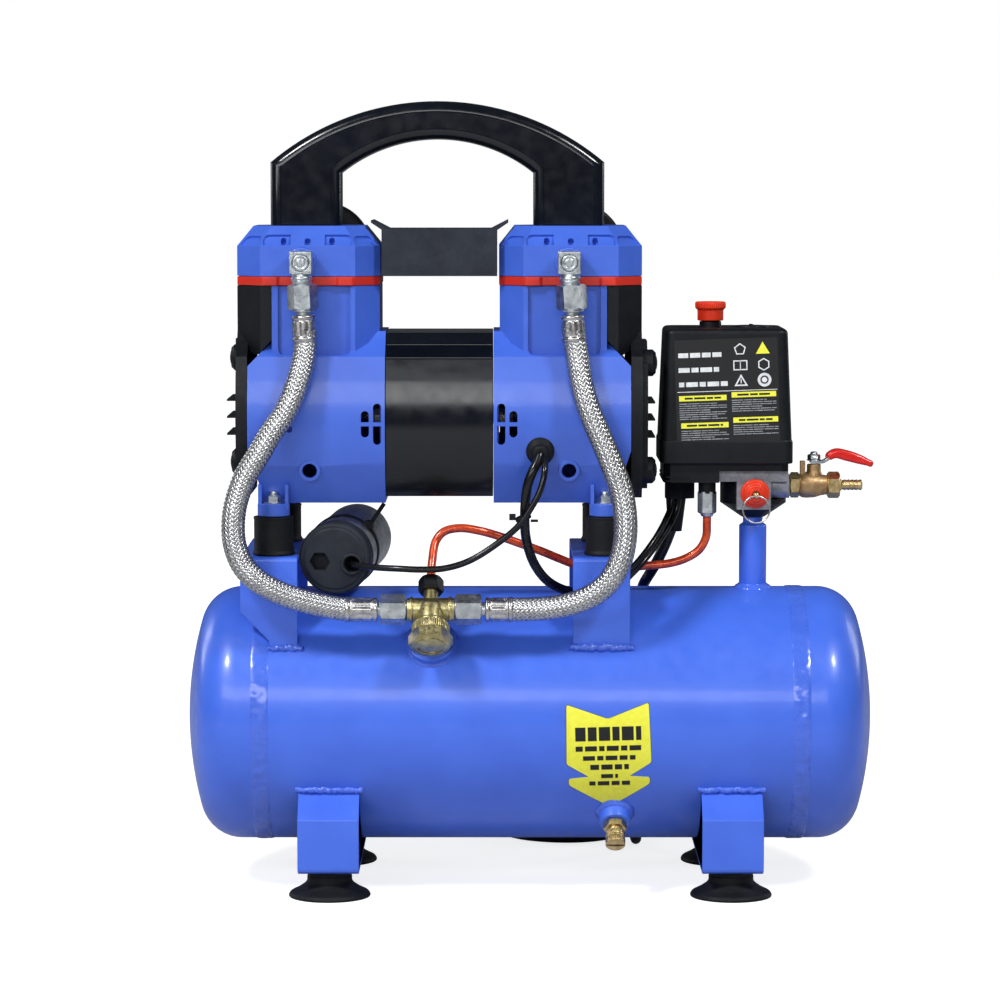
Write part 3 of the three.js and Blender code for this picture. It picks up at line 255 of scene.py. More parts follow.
def nut(flats, start, end, chamfer=0.9):
    """A hexagonal nut with turned chamfers at both ends."""
    along = Vector(end) - Vector(start)
    length = along.length
    corner = flats / math.sqrt(3)
    bar = lathe(disc_section(corner, 0, length), start, along, 6)
    drop = chamfer * 0.88
    face, rim = flats / 2 - 0.2, corner + 0.05
    cone = lathe([(0, -0.01), (face, -0.01), (rim, drop), (rim, length - drop), (face, length + 0.01),
                  (0, length + 0.01)], start, along, 48)
    return boolean(bar, [cone], "INTERSECT")


def spline(points, step):
    """Points about a step apart on a smooth curve through the given ones."""
    curve = [Vector(p) for p in points]
    first = curve[0] * 2 - curve[1]
    last = curve[-1] * 2 - curve[-2]
    full = [first, *curve, last]
    path = []
    for a, b, c, d in zip(full, full[1:], full[2:], full[3:]):
        knots = [0.0]
        for p, q in ((a, b), (b, c), (c, d)):
            knots.append(knots[-1] + max((q - p).length, 1e-6) ** 0.5)
        count = max(1, round((c - b).length / step))
        for k in range(count):
            t = knots[1] + (knots[2] - knots[1]) * k / count
            path.append(catmull(a, b, c, d, knots, t))
    path.append(curve[-1])
    return path


def catmull(a, b, c, d, knots, t):
    """A point on the centripetal Catmull-Rom curve through four points."""
    k0, k1, k2, k3 = knots
    ab = a.lerp(b, (t - k0) / (k1 - k0))
    bc = b.lerp(c, (t - k1) / (k2 - k1))
    cd = c.lerp(d, (t - k2) / (k3 - k2))
    abc = ab.lerp(bc, (t - k0) / (k2 - k0))
    bcd = bc.lerp(cd, (t - k1) / (k3 - k1))
    return abc.lerp(bcd, (t - k1) / (k2 - k1))


def frames(path):
    """For each point of a path: the point, a normal, a binormal and the tangent, without twist."""
    tangents = []
    for i in range(len(path)):
        tangents.append((path[min(i + 1, len(path) - 1)] - path[max(i - 1, 0)]).normalized())
    side = tangents[0].orthogonal().normalized()
    result = []
    for i, (point, tangent) in enumerate(zip(path, tangents)):
        if i:
            side = tangents[i - 1].rotation_difference(tangent) @ side
        side = (side - tangent * side.dot(tangent)).normalized()
        result.append((point, side, tangent.cross(side), tangent))
    return result


def sweep(path, radius, sides=16, rough=0.0, seed=0.0):
    """A round bar along a path. radius is a number or a function of the share of the way; rough makes its
    surface lumpy by that share of the radius."""
    rings = []
    steps = len(path) - 1
    for i, (point, side, over, _) in enumerate(frames(path)):
        r = radius(i / steps) if callable(radius) else radius
        ring = []
        for k in range(sides):
            c, s = on_circle(1, 2 * math.pi * k / sides)
            out = side * c + over * s
            lump = 1 + rough * noise.noise((point + out * r) * 0.55 + Vector((seed, 0, 0))) if rough else 1
            ring.append(point + out * (r * lump))
        rings.append(ring)
    return loft(rings)


def rounded_rect(x, y, half_x, half_y, radius, steps=5):
    """A rectangle about a centre, with rounded corners."""
    corners = [(x + a * half_x, y + b * half_y) for a, b in ((1, 1), (-1, 1), (-1, -1), (1, -1))]
    return rounded(corners, radius, steps, closed=True)


def finish_piece(name, bm, material, body="frame", replaces=(), bevel=0.0, segments=2, angle=32,
                 sharp=None):
    """Places a mesh in the row frame as a piece that rides on a body, and eases its edges."""
    mesh = bpy.data.meshes.new(name)
    bmesh.ops.transform(bm, matrix=TO_ROW, verts=bm.verts)
    bm.to_mesh(mesh)
    bm.free()
    mesh.shade_smooth()
    mesh.materials.append(material)
    piece = bpy.data.objects.new(name, mesh)
    bpy.context.scene.collection.objects.link(piece)
    if bevel:
        ease(piece, bevel, segments, angle)
    else:
        mesh.set_sharp_from_angle(angle=math.radians(sharp or 38))
    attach(piece, body)
    if replaces:
        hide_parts(*replaces)
    return piece


def ease(piece, width, segments=2, angle=32):
    """Rounds a piece's edges and keeps its flat faces flat in the light."""
    bevel = piece.modifiers.new("eased edges", "BEVEL")
    bevel.width = width * MM
    bevel.segments = segments
    bevel.limit_method = "ANGLE"
    bevel.angle_limit = math.radians(angle)
    bevel.miter_outer = "MITER_ARC"
    bevel.use_clamp_overlap = True
    weighted = piece.modifiers.new("weighted normals", "WEIGHTED_NORMAL")
    weighted.keep_sharp = False
    weighted.weight = 60


def cad_copy(node):
    """The mesh of a CAD node in layout millimetres, with its flat faces whole."""
    bm = bmesh.new()
    bm.from_mesh(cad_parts[node].data)
    bmesh.ops.transform(bm, matrix=TO_ROW.inverted(), verts=bm.verts)
    bmesh.ops.remove_doubles(bm, verts=bm.verts, dist=0.01)
    bmesh.ops.dissolve_limit(bm, angle_limit=math.radians(0.8), verts=bm.verts, edges=bm.edges)
    return bm


# ------------------------------------------------------------------ materials

def srgb(*levels):
    """Display levels from 0 to 255 as the linear colour that a shader takes."""
    linear = []
    for level in levels:
        v = level / 255
        linear.append(v / 12.92 if v <= 0.04045 else ((v + 0.055) / 1.055) ** 2.4)
    return (*linear, 1.0)


class Nodes:
    """A short way to write a node material."""

    def __init__(self, name, roughness, metallic=0.0, coat=0.0, specular=0.5):
        self.material = bpy.data.materials.new(name)
        self.material.use_nodes = True
        self.tree = self.material.node_tree
        self.shader = self.tree.nodes["Principled BSDF"]
        self.shader.inputs["Roughness"].default_value = roughness
        self.shader.inputs["Metallic"].default_value = metallic
        self.shader.inputs["Coat Weight"].default_value = coat
        self.shader.inputs["Coat Roughness"].default_value = 0.12
        self.shader.inputs["Specular IOR Level"].default_value = specular
        self.bump = None

    def new(self, kind, **sockets):
        node = self.tree.nodes.new(kind)
        for key, value in sockets.items():
            node.inputs[key.replace("_", " ")].default_value = value
        return node

    def link(self, a, b):
        self.tree.links.new(a, b)

    def place(self, stretch=(1, 1, 1)):
        """The piece's own coordinates in millimetres, stretched."""
        coordinates = self.new("ShaderNodeTexCoord")
        mapping = self.new("ShaderNodeMapping")
        mapping.inputs["Scale"].default_value = [1000 * s for s in stretch]
        self.link(coordinates.outputs["Object"], mapping.inputs["Vector"])
        return mapping.outputs["Vector"]

    def noise(self, size, detail=3.0, stretch=(1, 1, 1), rough=0.55):
        """Noise whose lumps are about size millimetres across."""
        node = self.new("ShaderNodeTexNoise", Scale=1 / size, Detail=detail, Roughness=rough)
        self.link(self.place(stretch), node.inputs["Vector"])
        return node.outputs["Fac"]

    def ramp(self, factor, stops):
        """A colour ramp from (place, colour) pairs."""
        node = self.new("ShaderNodeValToRGB")
        elements = node.color_ramp.elements
        while len(elements) < len(stops):
            elements.new(0.5)
        for element, (place, color) in zip(elements, stops):
            element.position = place
            element.color = color
        self.link(factor, node.inputs["Fac"])
        return node.outputs["Color"]

    def spread(self, factor, low, high, start=0.3, end=0.7):
        """A factor's middle stretched over a range of values."""
        node = self.new("ShaderNodeMapRange")
        for socket, value in zip(("From Min", "From Max", "To Min", "To Max"), (start, end, low, high)):
            node.inputs[socket].default_value = value
        self.link(factor, node.inputs["Value"])
        return node.outputs["Result"]

    def color(self, factor, light, dark, start=0.3, end=0.7):
        self.link(self.ramp(factor, [(start, dark), (end, light)]), self.shader.inputs["Base Color"])
        return self

    def roughness(self, factor, low, high):
        self.link(self.spread(factor, low, high), self.shader.inputs["Roughness"])
        return self

    def relief(self, factor, height, strength=1.0):
        """Adds a bump of that height in millimetres."""
        node = self.new("ShaderNodeBump", Strength=strength, Distance=height * MM)
        self.link(factor, node.inputs["Height"])
        if self.bump:
            self.link(self.bump.outputs["Normal"], node.inputs["Normal"])
        self.link(node.outputs["Normal"], self.shader.inputs["Normal"])
        self.bump = node
        return self


def paint(name, light, dark, roughness, peel, coat=0.25, specular=0.5):
    """Sprayed paint: a slow change of shade, orange peel and a few fine specks."""
    n = Nodes(name, roughness, coat=coat, specular=specular)
    n.color(n.noise(34, 4), light, dark, 0.25, 0.75)
    n.roughness(n.noise(9, 5), roughness - 0.05, roughness + 0.08)
    n.relief(n.noise(1.6, 2), peel)
    n.relief(n.noise(0.35, 2), peel * 0.25)
    return n.material


def plastic(name, light, dark, roughness, grain, size=0.45, coat=0.0, specular=0.25):
    """Moulded plastic or rubber with a fine grain and a little dust in its colour."""
    n = Nodes(name, roughness, coat=coat, specular=specular)
    n.color(n.noise(14, 5), light, dark, 0.3, 0.72)
    n.roughness(n.noise(4, 4), roughness - 0.08, roughness + 0.1)
    n.relief(n.noise(size, 3), grain)
    return n.material


def machined(name, light, dark, roughness, stretch, lines, metallic=1.0, size=0.8):
    """Turned, drawn or plated metal: fine tool marks along one way and a cloudy tint."""
    n = Nodes(name, roughness, metallic=metallic)
    n.color(n.noise(5, 5), light, dark, 0.3, 0.7)
    n.roughness(n.noise(1.8, 4), roughness - 0.07, roughness + 0.12)
    n.relief(n.noise(size, 3, stretch), lines)
    return n.material


def casting(name, light, dark, roughness, metallic, pits):
    """As-cast metal with a sandy skin."""
    n = Nodes(name, roughness, metallic=metallic)
    n.color(n.noise(6, 6, rough=0.7), light, dark, 0.3, 0.7)
    n.roughness(n.noise(2.2, 4), roughness - 0.08, roughness + 0.14)
    n.relief(n.noise(0.9, 5, rough=0.7), pits)
    return n.material


def braided_wire():
    """Bright stainless strands, each drawn as a few parallel wires by the mesh's across attribute."""
    n = Nodes("braided wire", 0.26, metallic=1.0)
    n.color(n.noise(2.6, 2), srgb(214, 215, 216), srgb(168, 168, 170), 0.3, 0.7)
    n.roughness(n.noise(1.6, 2), 0.3, 0.4)
    across = n.new("ShaderNodeAttribute")
    across.attribute_name = "across"
    wires = n.new("ShaderNodeMath")
    wires.operation = "PINGPONG"
    wires.inputs[1].default_value = 0.25
    n.link(across.outputs["Fac"], wires.inputs[0])
    n.relief(wires.outputs["Value"], 0.05)
    return n.material


def lacquered_copper():
    """Copper under an orange-red lacquer, darker in random patches."""
    n = Nodes("lacquered copper", 0.24, metallic=0.35, coat=0.7)
    n.link(n.ramp(n.noise(7, 4),
                  [(0.3, srgb(122, 34, 12)), (0.5, srgb(206, 66, 24)), (0.74, srgb(232, 92, 40))]),
           n.shader.inputs["Base Color"])
    n.roughness(n.noise(3, 3), 0.2, 0.34)
    n.relief(n.noise(1.4, 3), 0.05)
    return n.material


def ink(name, light, dark, roughness=0.42):
    """Screen-printed colour on a label, a little uneven."""
    n = Nodes(name, roughness)
    n.color(n.noise(3, 3), light, dark)
    n.relief(n.noise(0.6, 2), 0.01)
    return n.material


MAT = {
    "blue": paint("satin blue paint", srgb(70, 114, 234), srgb(63, 104, 222), 0.34, 0.012),
    "casting_blue": paint("painted blue casting", srgb(66, 106, 216), srgb(58, 95, 200), 0.38, 0.03),
    "weld": paint("painted weld", srgb(76, 116, 234), srgb(60, 96, 208), 0.26, 0.05, coat=0.5),
    "red": paint("red painted plate", srgb(216, 44, 22), srgb(188, 32, 14), 0.42, 0.03),
    "red_plastic": plastic("red plastic", srgb(234, 66, 36), srgb(206, 42, 20), 0.36, 0.01, coat=0.2),
    "red_vinyl": plastic("red dipped vinyl", srgb(226, 38, 30), srgb(196, 24, 20), 0.3, 0.03, size=1.6,
                         coat=0.4),
    "rubber": plastic("black rubber", srgb(24, 26, 29), srgb(11, 12, 15), 0.6, 0.02),
    "cable": plastic("black cable sheath", srgb(15, 16, 20), srgb(6, 7, 9), 0.3, 0.01, coat=0.3),
    "plastic": plastic("black plastic", srgb(18, 21, 27), srgb(11, 13, 17), 0.44, 0.02),
    "boot": plastic("grained black plastic", srgb(42, 47, 56), srgb(30, 34, 41), 0.6, 0.07, size=0.7),
    "gloss": paint("gloss black paint", srgb(13, 18, 27), srgb(8, 11, 18), 0.18, 0.012, coat=0.2,
                   specular=0.35),
    "sheet": plastic("textured powder coat", srgb(44, 49, 60), srgb(31, 35, 44), 0.66, 0.09, size=0.8),
    "zinc": machined("zinc plate", srgb(226, 232, 234), srgb(166, 174, 180), 0.33, (1, 1, 5), 0.015,
                     size=1.6),
    "steel": machined("bright steel", srgb(222, 220, 218), srgb(166, 164, 164), 0.28, (1, 1, 6), 0.012),
    "brass": machined("turned brass", srgb(232, 210, 156), srgb(184, 156, 104), 0.32, (1, 1, 5), 0.015),
    "pale_brass": machined("pale forged brass", srgb(214, 204, 152), srgb(166, 152, 104), 0.32, (1, 1, 2),
                           0.04),
    "cast_brass": casting("cast brass", srgb(206, 172, 126), srgb(150, 118, 82), 0.42, 0.85, 0.12),
    "aluminium": casting("cast aluminium", srgb(176, 178, 186), srgb(122, 124, 132), 0.45, 0.6, 0.08),
    "can": machined("drawn aluminium", srgb(206, 211, 214), srgb(150, 156, 161), 0.36, (1, 4, 1), 0.02,
                    metallic=0.8),
    "iron": casting("lamination iron", srgb(104, 106, 110), srgb(66, 68, 72), 0.55, 0.8, 0.08),
    "black_nut": machined("blackened nut", srgb(34, 35, 38), srgb(16, 17, 19), 0.34, (1, 1, 4), 0.03,
                          metallic=0.4),
    "dark": plastic("black under-tube", srgb(12, 12, 14), srgb(6, 6, 7), 0.7, 0.02),
    "wire": braided_wire(),
    "copper": lacquered_copper(),
    "yellow": ink("yellow ink", srgb(244, 244, 78), srgb(236, 234, 58)),
    "white": ink("white ink", srgb(236, 238, 240), srgb(206, 210, 214)),
    "grey": ink("grey ink", srgb(168, 172, 178), srgb(122, 126, 132)),
    "black": ink("black ink", srgb(10, 11, 15), srgb(5, 6, 8), 0.5),
}


# ------------------------------------------------------------------ camera and light

def make_camera():
    """The viewpoint: a long lens in front, a little above the pump, looking slightly down."""
    camera = bpy.data.cameras.new("camera")
    camera.sensor_width = 36
    camera.lens = 36 * 3.798
    camera.clip_end = 100
    holder = bpy.data.objects.new("camera", camera)
    holder.location = TO_ROW @ Vector((-18.89, -2400, 448.2))
    holder.rotation_euler = (math.radians(90 - 4.907), 0, 0)
    bpy.context.scene.collection.objects.link(holder)
    bpy.context.scene.camera = holder


def add_light(name, place, size, power, target=(0, 0, 0.25)):
    """A soft box in the row frame, turned towards a target."""
    light = bpy.data.lights.new(name, "AREA")
    light.shape = "RECTANGLE"
    light.size, light.size_y = size
    light.energy = power
    holder = bpy.data.objects.new(name, light)
    holder.location = place
    holder.rotation_euler = (Vector(target) - Vector(place)).to_track_quat("-Z", "Y").to_euler()
    bpy.context.scene.collection.objects.link(holder)


def make_floor():
    """A white floor that glows softly, more so away from the object, so that it fades into the room."""
    floor = bmesh.new()
    bmesh.ops.create_circle(floor, cap_ends=True, segments=96, radius=14)
    mesh = bpy.data.meshes.new("floor")
    floor.to_mesh(mesh)
    floor.free()
    n = Nodes("white floor", 0.7, specular=0.1)
    n.color(n.noise(400, 2), (0.56, 0.56, 0.57, 1), (0.54, 0.54, 0.55, 1))
    coordinates = n.new("ShaderNodeTexCoord")
    reach = n.new("ShaderNodeVectorMath")
    reach.operation = "LENGTH"
    n.link(coordinates.outputs["Object"], reach.inputs[0])
    ray = n.new("ShaderNodeLightPath")
    glow = n.new("ShaderNodeMath")
    glow.operation = "MULTIPLY"
    n.link(n.spread(reach.outputs["Value"], 0.8, 1.0, 0.3, 1.0), glow.inputs[0])
    n.link(ray.outputs["Is Camera Ray"], glow.inputs[1])
    n.link(glow.outputs["Value"], n.shader.inputs["Emission Strength"])
    n.shader.inputs["Emission Color"].default_value = (1, 1, 1, 1)
    mesh.materials.append(n.material)
    holder = bpy.data.objects.new("floor", mesh)
    bpy.context.scene.collection.objects.link(holder)


def make_studio():
    """A white backdrop, a dim room, two high soft boxes and a long frontal strip light."""
    world = bpy.data.worlds.new("studio")
    bpy.context.scene.world = world
    world.use_nodes = True
    nodes, links = world.node_tree.nodes, world.node_tree.links
    room = nodes["Background"]
    room.inputs["Color"].default_value = (0.86, 0.93, 1.0, 1)
    room.inputs["Strength"].default_value = 0.07
    backdrop = nodes.new("ShaderNodeBackground")
    backdrop.inputs["Color"].default_value = (1, 1, 1, 1)
    path = nodes.new("ShaderNodeLightPath")
    mix = nodes.new("ShaderNodeMixShader")
    links.new(path.outputs["Is Camera Ray"], mix.inputs["Fac"])
    links.new(room.outputs["Background"], mix.inputs[1])
    links.new(backdrop.outputs["Background"], mix.inputs[2])
    links.new(mix.outputs["Shader"], nodes["World Output"].inputs["Surface"])
    add_light("key left", (-1.36, -1.36, 2.2), (0.4, 0.4), 42)
    add_light("key right", (1.36, -1.36, 2.2), (0.4, 0.4), 34)
    add_light("strip", (-0.65, -2.02, 1.02), (2.5, 0.42), 19, (0, 0, 0.107))
    add_light("rim left", (-1.9, 1.2, 0.9), (0.6, 1.0), 7)
    add_light("rim right", (1.9, 1.2, 0.9), (0.6, 1.0), 7)
    make_floor()
    bpy.context.scene.view_settings.view_transform = "Standard"


# ------------------------------------------------------------------ mains lead

COIL = {"x": 27.0, "y": 168.0, "inner": 31.0, "pitch": 7.0, "low": 3.9, "high": 10.9}
CORD_DOWN = [
    (93, 5.5, 243.2), (92.7, 5.5, 236), (91, 5.8, 226.4), (87.6, 6.8, 216.4), (83.8, 8.4, 207.4),
    (80, 10.8, 199.6), (76.8, 15, 193.6),
]
CORD_OVER_TANK = [(17, 74.4), (28, 73), (40, 72.3), (53, 72), (67, 72), (81, 72)]
PLUG_NOSE = Vector((-25.98, 213.0, 10.5))


def cord_route():
    """Down from the gland, over the back of the tank, to the floor and tangentially into the coil."""
    over = TANK_R + CORD_R + 1.2
    bend = 34.0
    route = list(CORD_DOWN)
    for angle, x in CORD_OVER_TANK:
        a = math.radians(angle)
        route.append((x, over * math.sin(a), TANK_Z + over * math.cos(a)))
    x = 72.0
    floor_y = over + 0.6 + bend
    route.append((x, floor_y - bend, 74.0))
    for angle in (0, 30, 60, 90):
        c, s = on_circle(bend, math.radians(angle))
        route.append((x, floor_y - c, COIL["low"] + bend - s))
    route.append((x, 142.0, COIL["low"]))
    return route


def smooth_step(t):
    """A step from 0 to 1 that starts and ends gently."""
    t = min(max(t, 0.0), 1.0)
    return t * t * (3 - 2 * t)


def coil_turns():
    """Three turns inwards on the floor, then three and a quarter outwards on top of them. In the last
    quarter of each turn the lead steps over to its next radius or layer."""
    lanes = [(45, 0), (38, 0), (31, 0), (31, 1), (38, 1), (45, 1), (45, 1)]
    per_turn = 28
    turns = []
    for i in range(1, int(6.25 * per_turn) + 1):
        turn = i / per_turn
        lane = int(turn)
        share = smooth_step((turn - lane - 0.74) / 0.26)
        (r0, z0), (r1, z1) = lanes[lane], lanes[min(lane + 1, 6)]
        radius = r0 + (r1 - r0) * share
        if z0 != z1:
            radius -= 3.2 * math.sin(math.pi * share)
        z = COIL["low"] + (COIL["high"] - COIL["low"]) * (z0 + (z1 - z0) * share)
        c, s = on_circle(radius, 2 * math.pi * turn)
        turns.append((COIL["x"] + c, COIL["y"] + s, z))
    return turns


def make_mains_lead():
    """The mains lead from the gland to its plug, one curve, with its tie, strain relief and plug."""
    points = [Vector(p) for p in cord_route() + [(72, 155, COIL["low"])] + coil_turns()]
    points += [Vector((x, 213, 10.6)) for x in (14, 0, -14)]
    curve = bpy.data.curves.new("mains_lead", "CURVE")
    curve.dimensions = "3D"
    curve.bevel_depth = CORD_R * MM
    curve.bevel_resolution = 4
    curve.resolution_u = 5
    curve.use_fill_caps = True
    line = curve.splines.new("BEZIER")
    line.bezier_points.add(len(points) - 1)
    for i, (knot, p) in enumerate(zip(line.bezier_points, points)):
        before = points[max(i - 1, 0)]
        after = points[min(i + 1, len(points) - 1)]
        direction = (after - before).normalized()
        knot.co = TO_ROW @ p
        knot.handle_left = TO_ROW @ (p - direction * (p - before).length / 3)
        knot.handle_right = TO_ROW @ (p + direction * (after - p).length / 3)
    curve.materials.append(MAT["cable"])
    lead = bpy.data.objects.new("mains_lead", curve)
    bpy.context.scene.collection.objects.link(lead)
    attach(lead, "frame")
    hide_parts("mains_cord", "mains_coil")
    tie = make_coil_tie()
    plug = make_plug()
    relief = finish_piece("gland_strain_relief",
                          turned([(3.7, 0), (6.6, 0), (6.2, 5), (4.4, 24), (3.7, 24), (3.7, 0)], 0.5, 2,
                                 (93, 5.4, 246), (-0.03, 0.0, -1), 32), MAT["rubber"])


def make_coil_tie():
    """A cable tie round the coil's section, with its square lock."""
    middle = COIL["inner"] + COIL["pitch"]
    loop = rounded([(-11.4, 0.2), (11.4, 0.2), (11.4, 15.0), (-11.4, 15.0)], 3.4, 5, closed=True)
    inner = rounded([(-10.6, 0.6), (10.6, 0.6), (10.6, 14.3), (-10.6, 14.3)], 3.0, 5, closed=True)
    rings = []
    for outline, y in ((loop, -1.8), (loop, 1.8), (inner, 1.8), (inner, -1.8)):
        rings.append([(middle + a, y, b) for a, b in outline])
    band = loft(rings, caps=False)
    lock = box(middle + 1, middle + 6.4, -2.6, 2.6, 13.6, 17.2)
    tie = add(band, lock)
    turn = Matrix.Translation((COIL["x"], COIL["y"], 0)) @ Matrix.Rotation(math.radians(158), 4, "Z")
    bmesh.ops.transform(tie, matrix=turn, verts=tie.verts)
    return finish_piece("coil_tie", tie, MAT["plastic"], bevel=0.3)


def make_plug():
    """The moulded plug: a ribbed strain relief, a rounded body with finger grips and two round pins."""
    nose = PLUG_NOSE
    ribs = [(3.6, 26.5), (4.6, 26.5)]
    for i in range(8):
        start = 25.6 - 3.2 * i
        swell = 0.35 * i
        ribs += [(4.9 + swell, start), (4.9 + swell, start - 1.7), (4.1 + swell, start - 2.1),
                 (4.1 + swell, start - 2.9)]
    relief = lathe([*ribs, (8.0, -1), (3.6, -1), (3.6, 26.5)], nose, (1, 0, 0), 32)
    rings = []
    for x, half_y, half_z in ((0, 9, 7.6), (-1.6, 11.4, 9.2), (-8, 12.6, 9.7), (-12, 11.9, 9.3),
                              (-16, 12.9, 9.8), (-20, 12.2, 9.4), (-24, 13.6, 10.1), (-31, 14.8, 10.5),
                              (-33, 14.8, 10.5), (-34, 14, 9.8)):
        outline = rounded_rect(nose.y, nose.z, half_y, half_z, 7, 6)
        rings.append([(nose.x + x, a, b) for a, b in outline])
    body = loft(rings)
    plug = add(relief, body)
    made = finish_piece("mains_plug_body", plug, MAT["plastic"], replaces=["mains_plug"],
                        sharp=50)
    pins = []
    for side in (-1, 1):
        y = nose.y + side * 9.5
        pins.append(rod(2.4, (nose.x - 33, y, nose.z), (nose.x - 53, y, nose.z), 28, edge=1.4))
    pins = finish_piece("mains_plug_pins", add(*pins), MAT["brass"], sharp=50)
    pins.parent = made
    pins.matrix_parent_inverse = made.matrix_world.inverted()
    return made


# ------------------------------------------------------------------ tank

def dish_profile(inset, crown_steps, knuckle_steps):
    """The dished end's outline as (radius, x), from the axis to the rim."""
    crown_centre = TANK_END - TANK_CROWN
    knuckle_r = TANK_R - TANK_KNUCKLE
    reach = TANK_CROWN - TANK_KNUCKLE
    knuckle_x = crown_centre + math.sqrt(reach ** 2 - knuckle_r ** 2)
    meet = math.asin(knuckle_r / reach)
    points = []
    for i in range(crown_steps + 1):
        a = meet * i / crown_steps
        points.append(((TANK_CROWN - inset) * math.sin(a), crown_centre + (TANK_CROWN - inset) * math.cos(a)))
    for i in range(1, knuckle_steps + 1):
        a = meet + (math.pi / 2 - meet) * i / knuckle_steps
        radius = TANK_KNUCKLE - inset
        points.append((knuckle_r + radius * math.sin(a), knuckle_x + radius * math.cos(a)))
    return points


def out_of_tank(angle):
    """The direction out of the tank at an angle in degrees above its front."""
    a = math.radians(angle)
    return Vector((0, -math.cos(a), math.sin(a)))


def on_tank(x, angle, radius=TANK_R):
    """A point on the tank, or off it at another radius."""
    return Vector((x, 0, TANK_Z)) + out_of_tank(angle) * radius


def make_tank():
    """The shell with its two bosses and the switch's post, and the two dished ends."""
    outer = [(TANK_R, -TANK_SEAM), (TANK_R, TANK_SEAM)]
    inner = [(TANK_R - 2, TANK_SEAM), (TANK_R - 2, -TANK_SEAM)]
    shell = lathe(outer + inner, (0, 0, TANK_Z), (1, 0, 0), 192)
    fittings = [shell]
    for x, angle, radius, height, bore in ((-61.5, 40, 15.6, 4, 6.5), (52.6, -44, 9.6, 8.6, 5)):
        out = out_of_tank(angle)
        top = TANK_R + height
        collar = turned(tube_section(bore, radius, 77.5, top), 0.9, 3,
                        (x, 0, TANK_Z), out, 64)
        fittings.append(collar)
    post = rounded([(4.2, 79), (8.7, 79), (8.7, 119.5), (6.3, 121), (6.3, 128), (4.2, 128), (4.2, 79)], 0.6,
                   2)
    fittings.append(lathe(post, (141.5, 0, TANK_Z), (0, 0, 1), 64))
    finish_piece("tank_body", add(*fittings), MAT["blue"], replaces=["tank_shell"], sharp=40)
    rim = [(TANK_R, TANK_SEAM + 0.3)]
    rim_inner = [(TANK_R - 2, TANK_SEAM + 0.3)]
    profile = dish_profile(0, 26, 18) + rim + rim_inner + dish_profile(2, 20, 10)[::-1]
    for name, side in (("right", 1), ("left", -1)):
        end = lathe(profile, (0, 0, 0), (1, 0, 0), 192)
        if side < 0:
            mirrored(end)
        finish_piece(f"tank_dish_{name}", moved(end, (0, 0, TANK_Z)), MAT["blue"],
                     replaces=[f"tank_end_{name}"], sharp=50)
        make_seam(name, side * (TANK_SEAM + 0.6))


def make_seam(name, x):
    """The weld round the tank: a painted-over band with a few runs and lumps in it."""
    half = 5.4
    rows = 13
    around = 360
    bm = bmesh.new()
    grid = []
    for k in range(around):
        angle = 360 * k / around
        line = []
        for i in range(rows):
            t = 2 * i / (rows - 1) - 1
            place = on_tank(x, angle) * 0.11
            ripple = noise.noise(Vector((place.x + t * 0.9, place.y * 2.6, place.z * 2.6)))
            lump = max(0.0, noise.noise(Vector((7 + t * 0.6, place.y * 1.2, place.z * 1.2))) - 0.1)
            edge = 1 - abs(t) ** 6
            height = 0.14 + 0.34 * edge + 0.3 * ripple * edge + 1.0 * lump * edge * (1 - abs(t))
            line.append(bm.verts.new(on_tank(x + t * half, angle, TANK_R + max(height, 0.04))))
        line.append(bm.verts.new(on_tank(x + half, angle, TANK_R - 1)))
        line.append(bm.verts.new(on_tank(x - half, angle, TANK_R - 1)))
        grid.append(line)
    for a, b in zip(grid, grid[1:] + grid[:1]):
        bridge(bm, a, b)
    bmesh.ops.recalc_face_normals(bm, faces=bm.faces)
    finish_piece(f"seam_weld_{name}", bm, MAT["weld"], sharp=60)


def weld_bead(start, end, radius, seed):
    """A short lumpy weld between two points."""
    a, b = Vector(start), Vector(end)
    count = max(4, int((b - a).length / 0.8))
    path = []
    for i in range(count + 1):
        p = a.lerp(b, i / count)
        wander = Vector((0, noise.noise(p * 0.3 + Vector((seed, 0, 0))),
                         noise.noise(p * 0.3 + Vector((0, seed, 0)))))
        path.append(p + wander * 0.7)
    return sweep(path, lambda t: radius * (0.55 + 0.45 * math.sin(math.pi * min(max(t, 0.06), 0.94)) ** 0.4),
                 12, 0.55, seed)


def weld_ring(at, direction, radius, width, seed):
    """A fillet weld round a boss or the post."""
    to = aim(at, direction)
    bm = bmesh.new()
    around = 96
    grid = []
    for k in range(around):
        c, s = on_circle(1, 2 * math.pi * k / around)
        swell = 1 + 0.3 * noise.noise(Vector((c * 2.4 + seed, s * 2.4, 0)))
        ring = []
        for reach, height in ((-1.0, 0.9), (0.0, 1.0), (0.35, 0.62), (0.7, 0.34), (1.0, -0.1), (1.0, -1.4),
                              (-1.0, -1.4)):
            r = radius + width * reach * (swell if reach > 0 else 1)
            ripple = 0.12 * noise.noise(Vector((c * 9, s * 9, reach + seed)))
            # The tank falls away on either side of the boss, so the fillet's foot follows it down.
            across = r * s
            drop = TANK_R - math.sqrt(max(TANK_R ** 2 - across ** 2, 0)) if reach > -0.5 else 0
            ring.append(bm.verts.new(to @ Vector((r * c, across, (height + ripple) * width * 0.8 - drop))))
        grid.append(ring)
    for a, b in zip(grid, grid[1:] + grid[:1]):
        bridge(bm, a, b)
    bmesh.ops.recalc_face_normals(bm, faces=bm.faces)
    return bm


